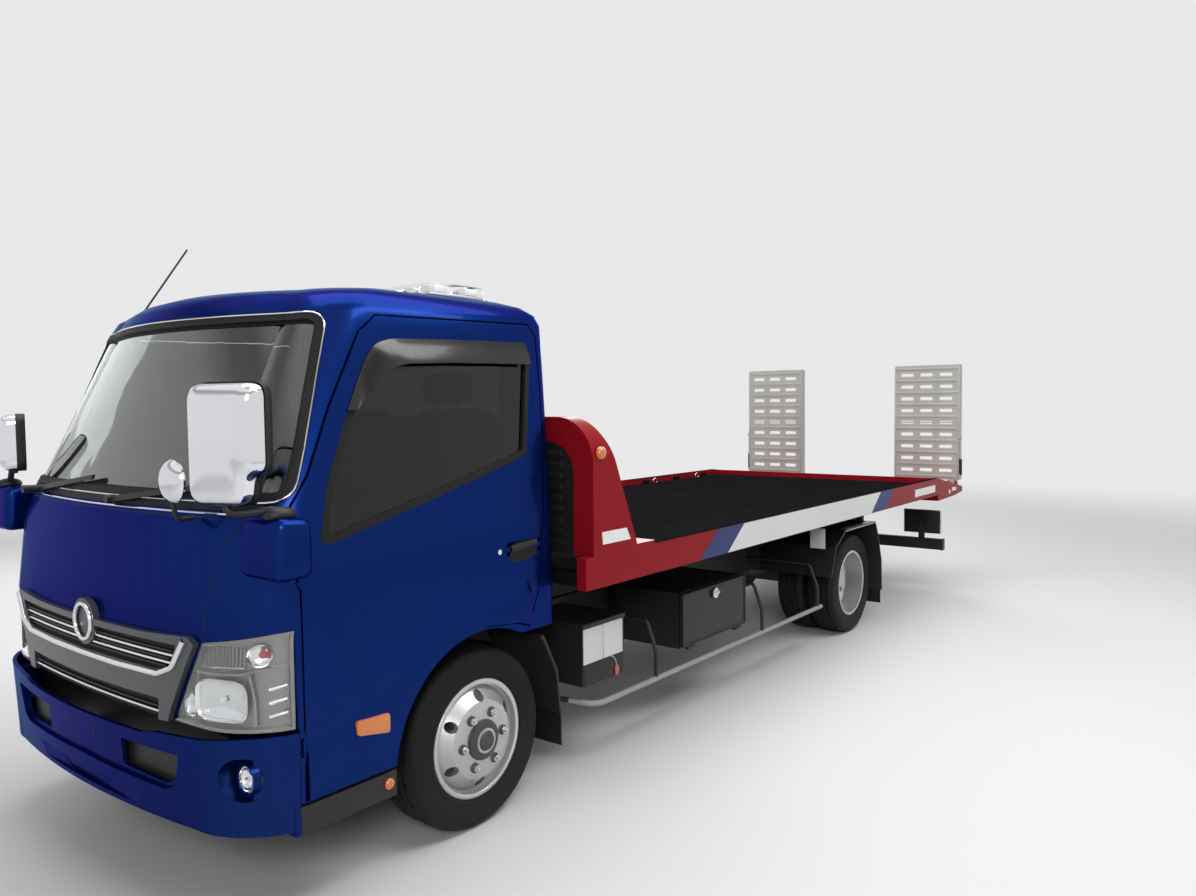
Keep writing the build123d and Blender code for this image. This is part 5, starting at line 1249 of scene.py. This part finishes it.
def make_headboard():
    # Pressed black sheet in its opening as painted shade, reflectors, side markers and work lamps
    bm = bmesh.new()
    # The black sheet is painted shade: it darkens the opening, which lies in shade behind the cab
    plate(bm, [front(SHADE_SHEET_X, y, z) for y, z in SHADE_SHEET_OUTLINE], (0.003, 0, 0))
    x = FRONT_AXLE + SHADE_SHEET_X
    for k in range(9):
        box(bm, (x - 0.0005, x + 0.008), (-0.94, 0.94), (1.085 + k * 0.050, 1.107 + k * 0.050), 0.003, 4)
    finish(bm, "headboard_shade_sheet", "tray", "black_plastic")
    side_plates("headboard_reflector", "tray", "body_red", "white_reflector",
                ((-0.612, 1.092), (-0.822, 1.092), (-0.790, 1.148), (-0.606, 1.148)), 0.002)
    buttons("headboard_markers", "tray", "red_lens", "amber_lens",
            ((0.0, 0.022), (0.018, 0.020), (0.027, 0.012), (0.030, 0.0), (0.0, 0.0)),
            (-0.604, 1.119, 1.499), 28)
    bm = bmesh.new()
    for y in WORK_LAMPS:
        rod(bm, front(-0.606, y, 1.40), front(-0.665, y, 1.40), 0.052, 0.060, segments=32, soft=0.004)
        rod(bm, front(-0.590, y, 1.36), front(-0.620, y, 1.36), 0.012, segments=12)
    finish(bm, "work_lamp_bodies", "tray", "black_plastic")
    bm = bmesh.new()
    for y in WORK_LAMPS:
        rod(bm, front(-0.664, y, 1.40), front(-0.669, y, 1.40), 0.052, segments=32, soft=0.002)
    finish(bm, "work_lamp_lenses", "tray", "clear_lens", "lamp_silver")


def make_winch():
    def by_axis(x, y, z):
        return front(*DRUM) + Vector((x, y, z))

    bm = bmesh.new()
    rope = [(0.0545, -0.138)]
    for k in range(22):
        h = -0.136 + k * 0.0124
        rope += [(0.0655, h), (0.0705, h + 0.0031), (0.0725, h + 0.0062), (0.0705, h + 0.0093)]
    rope += [(0.0655, 0.1368), (0.0545, 0.138)]
    turned = Matrix.Translation(front(*DRUM)) @ Matrix.Rotation(math.radians(-90), 4, "X")
    lathe(bm, rope, turned, 48, close=True)
    finish(bm, "wound_rope", "drum", "machined_steel", "rope_steel", angle=70)
    # Motor and gearbox rims, gearbox screws, and the motor's tie rods
    bm = bmesh.new()
    for start, end, r in ((0.184, 0.196, 0.086), (0.262, 0.272, 0.070), (0.272, 0.300, 0.040)):
        rod(bm, by_axis(0, start, 0), by_axis(0, end, 0), r, segments=36, soft=0.002)
    for u, v in circle(0.072, 8):
        rod(bm, by_axis(u, 0.258, v), by_axis(u, 0.268, v), 0.006, segments=6)
    for u, v in circle(0.058, 6):
        rod(bm, by_axis(u, -0.300, v), by_axis(u, -0.190, v), 0.006, segments=8)
    finish(bm, "winch_fittings", "tray", "cast_metal")
    bm = bmesh.new()
    for y in (0.205, 0.235):
        rod(bm, by_axis(0.02, y, 0.085), by_axis(0.05, y + 0.01, 0.190), 0.006, segments=12)
        ball(bm, by_axis(0.05, y + 0.01, 0.196), (0.014, 0.014, 0.014), 16)
    finish(bm, "winch_levers", "tray", "body_red")
    # Roller guide for the rope
    bm = bmesh.new()
    for z in (1.030, 1.098):
        rod(bm, front(GUIDE_X, -0.10, z), front(GUIDE_X, 0.10, z), 0.014, segments=24, soft=0.002)
    x = FRONT_AXLE + GUIDE_X
    for _, side in SIDES:
        rod(bm, (x + 0.001, side * 0.085, 1.016), (x + 0.001, side * 0.085, 1.112), 0.010, segments=16)
        box(bm, (x - 0.020, x + 0.020), (side * 0.100, side * 0.112), (0.9975, 1.118), 0.002)
    finish(bm, "rope_guide", "tray", "machined_steel")


def make_deck_and_tail():
    starts = [-1.30 - k * 1.02 for k in range(4)]
    boxes("deck_guides", "tray", "deck_black",
          [((x - 0.80, x), (0.495, 0.545), (0.9995, 1.0035)) for x in starts], soft=0.0015, both=True)
    buttons("rail_end_markers", "tray", "red_lens", "white_reflector",
            ((0.0, 0.005), (0.012, 0.0045), (0.019, 0.0025), (0.021, 0.0), (0.0, 0.0)),
            (-5.660, RAIL_FACE, 0.905), 24)
    # Hinge pins' caps and the tail's reflectors
    bm = bmesh.new()
    for _, side in SIDES:
        for y in (0.544, 1.020):
            for way in (-1, 1):
                p = Vector((TAIL + 0.065, side * y + way * 0.0435, 0.945))
                rod(bm, p, p + Vector((0, way * 0.005, 0)), 0.019, segments=24, soft=0.001)
    finish(bm, "ramp_pin_caps", "tray", "machined_steel")
    side_plates("tail_side_reflector", "tray", "body_red", "white_reflector",
                ((0.42, 0.905), (0.30, 0.905), (0.30, 0.932), (0.42, 0.940)), 0.0015, base=TAIL)
    boxes("tail_end_reflector", "tray", "red_lens", [((0.105, 0.109), (0.23, 0.37), (0.886, 0.918))],
          base=TAIL, both=True)


RAMP_BARS = 10
RAMP_FACE = 0.087


def make_ramps():
    for name, side in SIDES:
        body = name + "_ramp"
        bm = bmesh.new()
        face = TAIL + RAMP_FACE
        # Raised bars between the slots, and folded edges
        for k in range(RAMP_BARS):
            z = min(1.006 + 1.004 / (RAMP_BARS - 1) * k, 2.026)
            span = (side * 0.500, side * 1.064)
            box(bm, (face - 0.001, face + 0.004), span, (z - 0.010, z + 0.010), 0.0018)
        for y in (0.490, 1.074):
            span = (side * (y - 0.007), side * (y + 0.007))
            box(bm, (face - 0.0005, face + 0.0045), span, (0.982, 2.034), 0.0015)
        finish(bm, "ramp_ribs_" + name, body, "ramp_alloy")
        lip = ((0.004, 0.062), (side * 0.492, side * 1.072), (2.030, 2.046))
        boxes("ramp_lip_" + name, body, "ramp_alloy", [lip], soft=0.004, segments=4, base=TAIL)
        bm = bmesh.new()
        strut = Vector((TAIL + 0.069, side * 1.093, 1.02))
        rod(bm, strut, strut + Vector((0, 0, 0.15)), 0.0125, segments=20, soft=0.002)
        finish(bm, "ramp_strut_" + name, body, "black_plastic")


# Chassis

def make_bumper_details():
    # Plate holes in the bumper's recess, and the dark wall and the low fill behind its openings
    bumper = BVHTree.FromObject(NODES["front_bumper"], bpy.context.evaluated_depsgraph_get())

    def on_bumper(y, z):
        return bumper.ray_cast(front(2, y, z), Vector((-1, 0, 0)))[0]

    bm = bmesh.new()
    for y in (-0.105, 0.105):
        at = on_bumper(y, 0.548)
        rod(bm, at - Vector((0.001, 0, 0)), at + Vector((0.0012, 0, 0)), 0.011, segments=20)
    finish(bm, "plate_holes", "chassis", "black_plastic", "seal_rubber")
    bm = bmesh.new()
    box(bm, (FRONT_AXLE + 0.896, FRONT_AXLE + 0.902), (-0.90, 0.90), (0.336, 0.575))
    wall = [(on_bumper(k * 0.052, 0.60).x - 0.052, k * 0.052, 0.456) for k in range(-12, 13)]
    sweep(bm, wall, [(-0.002, -0.114), (0.002, -0.114), (0.002, 0.114), (-0.002, 0.114)])
    finish(bm, "bumper_backing", "chassis", "black_plastic")
    boxes("bumper_fill", "chassis", "black_plastic", [((1.0945, 1.0985), (-0.36, 0.36), (0.334, 0.412))],
          "bumper_blue")


def make_sills():
    boxes("sill_covers", "chassis", "black_plastic", [((0.459, 0.858), (0.697, 0.9935), (0.309, 0.405))],
          soft=0.006, segments=4, both=True)
    boxes("step_treads", "chassis", "black_plastic",
          [((x, x + 0.022), (0.755, 0.968), (0.404, 0.409)) for x in (0.525 + k * 0.055 for k in range(6))],
          soft=0.002, both=True)
    buttons("sill_markers", "chassis", "red_lens", "amber_lens",
            ((0.0, 0.010), (0.014, 0.009), (0.020, 0.005), (0.021, 0.0), (0.0, 0.0)),
            (0.495, 0.9930, 0.362), 24)
    marker = ((0.501, 0.556), (0.643, 0.583), (0.643, 0.633), (0.501, 0.628))
    for name, side in SIDES:
        bm = bmesh.new()
        plate(bm, rounded([front(x, side, z) for x, z in marker], 0.014, 4), (0, side * 0.014, 0), 0.004)
        finish(bm, "side_marker_" + name, name + "_door", "red_lens", "amber_lens")


def make_battery_box():
    boxes("battery_lid", "chassis", "black_plastic", [((-1.004, -0.672), (0.556, 0.954), (0.672, 0.694))],
          soft=0.005, segments=4)
    halves = [(x, (0.9495, 0.9535), (0.505, 0.6705)) for x in ((-0.822, -0.674), (-0.978, -0.826))]
    boxes("battery_panel", "chassis", "chassis_grey", halves, "side_white")
    bm = bmesh.new()
    ball(bm, front(-0.930, 0.9535, 0.425), (0.016, 0.0045, 0.028), 20)
    finish(bm, "battery_tag", "chassis", "red_lens")
    bm = bmesh.new()
    hang = ((-0.885, 0.503), (-0.905, 0.495), (-0.924, 0.470), (-0.930, 0.445))
    path = rounded([front(x, 0.9525, z) for x, z in hang], 0.02, 4, closed=False)
    sweep(bm, path, oval(0.004, 0.0015, 8), (0, 1, 0))
    finish(bm, "battery_strap", "chassis", "guard_grey")


def make_side_guards():
    bm = bmesh.new()
    for _, side in SIDES:
        bar = [front(-0.700, side * 0.840, 0.315), front(-0.760, side * 0.960, 0.300),
               (REAR_AXLE + 0.580, side * 0.960, 0.300)]
        sweep(bm, rounded(bar, 0.090, 8, closed=False), circle(0.0142, 18))
    finish(bm, "side_guard_bars", "chassis", "guard_grey")


TOOLBOX_BACK, TOOLBOX_FRONT = -2.225, -1.526
TANK_MIDDLE = (0.695, 0.54)
TANK_OUTLINE = ((-0.4895, 0.3885), (-0.9015, 0.3885), (-0.9015, 0.6915), (-0.4895, 0.6915))


def make_toolbox_and_tank():
    ends = (TOOLBOX_BACK + 0.008, TOOLBOX_FRONT - 0.008)
    folds = [((TOOLBOX_BACK + 0.004, TOOLBOX_FRONT - 0.004), (0.948, 0.955), (z - 0.009, z + 0.004))
             for z in (0.404, 0.682)]
    folds += [((x - 0.006, x + 0.006), (0.948, 0.955), (0.404, 0.682)) for x in ends]
    boxes("toolbox_door_folds", "box_door", "chassis_grey", folds, soft=0.002, segments=4)
    bm = bmesh.new()
    x = FRONT_AXLE + TOOLBOX_FRONT - 0.340
    rod(bm, (x, 0.948, 0.640), (x, 0.963, 0.640), 0.030, segments=32, soft=0.002)
    box(bm, (x - 0.036, x + 0.036), (0.961, 0.967), (0.633, 0.647), 0.002)
    finish(bm, "toolbox_lock", "box_door", "machined_steel")
    # Fuel tank: straps and filler cap
    bm = bmesh.new()
    for x in (-2.10, -1.70):
        path = rounded([front(x, y, z) for y, z in TANK_OUTLINE], 0.042, 6)
        outs = [Vector((0, p.y + TANK_MIDDLE[0], p.z - TANK_MIDDLE[1])).normalized() for p in path]
        sweep(bm, path, strip_shape(0.016, -0.001, 0.002), outs, True)
    rod(bm, front(-1.86, -0.80, 0.688), front(-1.86, -0.80, 0.712), 0.040, segments=32, soft=0.004)
    finish(bm, "tank_straps", "chassis", "machined_steel")


def make_mudguard_details():
    # Pale edge of the rear mudguards and the hanging plate before them, and the mud flaps
    bm = bmesh.new()
    for _, side in SIDES:
        box(bm, (REAR_AXLE - 0.24, REAR_AXLE + 0.24), (side * 0.965, side * 1.020), (0.7995, 0.8015), 0.0005)
        edge = ((-0.26, 0.792), (-0.26, 0.798), (0.30, 0.798), (0.30, 0.792))
        plate(bm, [(REAR_AXLE + x, side * 1.0253, z) for x, z in edge], (0, side * 0.001, 0))
        box(bm, (REAR_AXLE + 0.575, REAR_AXLE + 0.580), (side * 0.880, side * 0.990), (0.700, 0.840), 0.001)
    finish(bm, "mudguard_plate", "chassis", "black_plastic", "side_white")
    back = REAR_AXLE - FRONT_AXLE
    boxes("mud_flaps", "chassis", "tyre_rubber",
          [((back - 0.414, back - 0.406), (0.60, 1.01), (0.150, 0.300)),
           ((-0.478, -0.470), (0.655, 0.98), (0.200, 0.360))], "seal_rubber", both=True)


# Lamp, its span across, and its look
BOARD_LAMPS = (("brake", (0.660, 0.745), "red_lens"), ("indicator", (0.755, 0.845), "amber_lens"),
               ("reversing", (0.855, 0.945), "white_reflector"))


def make_tail_lamps():
    boxes("underrun_caps", "chassis", "black_plastic", [((0.238, 0.302), (0.985, 1.006), (0.342, 0.446))],
          soft=0.004, segments=4, base=TAIL, both=True)
    frames = [((0.226, 0.260), (0.638, 0.971), z) for z in ((0.486, 0.492), (0.698, 0.704))]
    frames += [((0.226, 0.260), (y - 0.003, y + 0.003), (0.486, 0.704)) for y in (0.640, 0.969)]
    boxes("lamp_board_frames", "chassis", "machined_steel", frames, base=TAIL, both=True)
    board = ((0.236, 0.256), (0.643, 0.966), (0.490, 0.700))
    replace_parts(boxes("lamp_boards", "chassis", "black_plastic", [board], base=TAIL, both=True), "tail_lamps")
    for label, y, material in BOARD_LAMPS:
        lens = ((0.229, 0.240), y, (0.585, 0.680))
        boxes(label + "_lenses", "chassis", "red_lens", [lens], material, 0.006, 4, TAIL, True)
    boxes("rear_reflectors", "chassis", "red_lens", [((0.231, 0.240), (0.670, 0.935), (0.515, 0.555))],
          soft=0.004, segments=4, base=TAIL, both=True)


def make_pipes_and_air_tank():
    bm = bmesh.new()
    for k in range(3):
        y = 0.340 - k * 0.018
        path = [front(-0.9, y, 0.585), front(-2.2, y, 0.585), front(-2.3, y - 0.03, 0.60),
                (REAR_AXLE + 0.30, y - 0.03, 0.60)]
        sweep(bm, rounded(path, 0.05, 4, closed=False), circle(0.0055, 8))
    finish(bm, "frame_pipes", "chassis", "black_plastic", "seal_rubber")
    bm = bmesh.new()
    rod(bm, front(-1.16, -0.22, 0.50), front(-1.16, 0.22, 0.50), 0.075, segments=32, soft=0.015)
    for y in (-0.15, 0.15):
        box(bm, (FRONT_AXLE - 1.19, FRONT_AXLE - 1.13), (y - 0.02, y + 0.02), (0.560, 0.662), 0.003)
    finish(bm, "air_tank", "chassis", "chassis_grey")


materials = make_materials()
make_camera()
make_studio()
dress_cad_nodes()
SKIN = make_skin()
sheet_metal("cab_shell", "cab")
make_windows()
make_cab_trim()
make_headlamps()
make_front()
make_mirrors()
make_roof()
make_cabin()
for name, side in SIDES:
    make_tyres(name, side)
    make_wheel_fittings(name, side)
make_rails()
make_headboard()
make_winch()
make_deck_and_tail()
make_ramps()
make_bumper_details()
make_sills()
make_battery_box()
make_side_guards()
make_toolbox_and_tank()
make_mudguard_details()
make_tail_lamps()
make_pipes_and_air_tank()
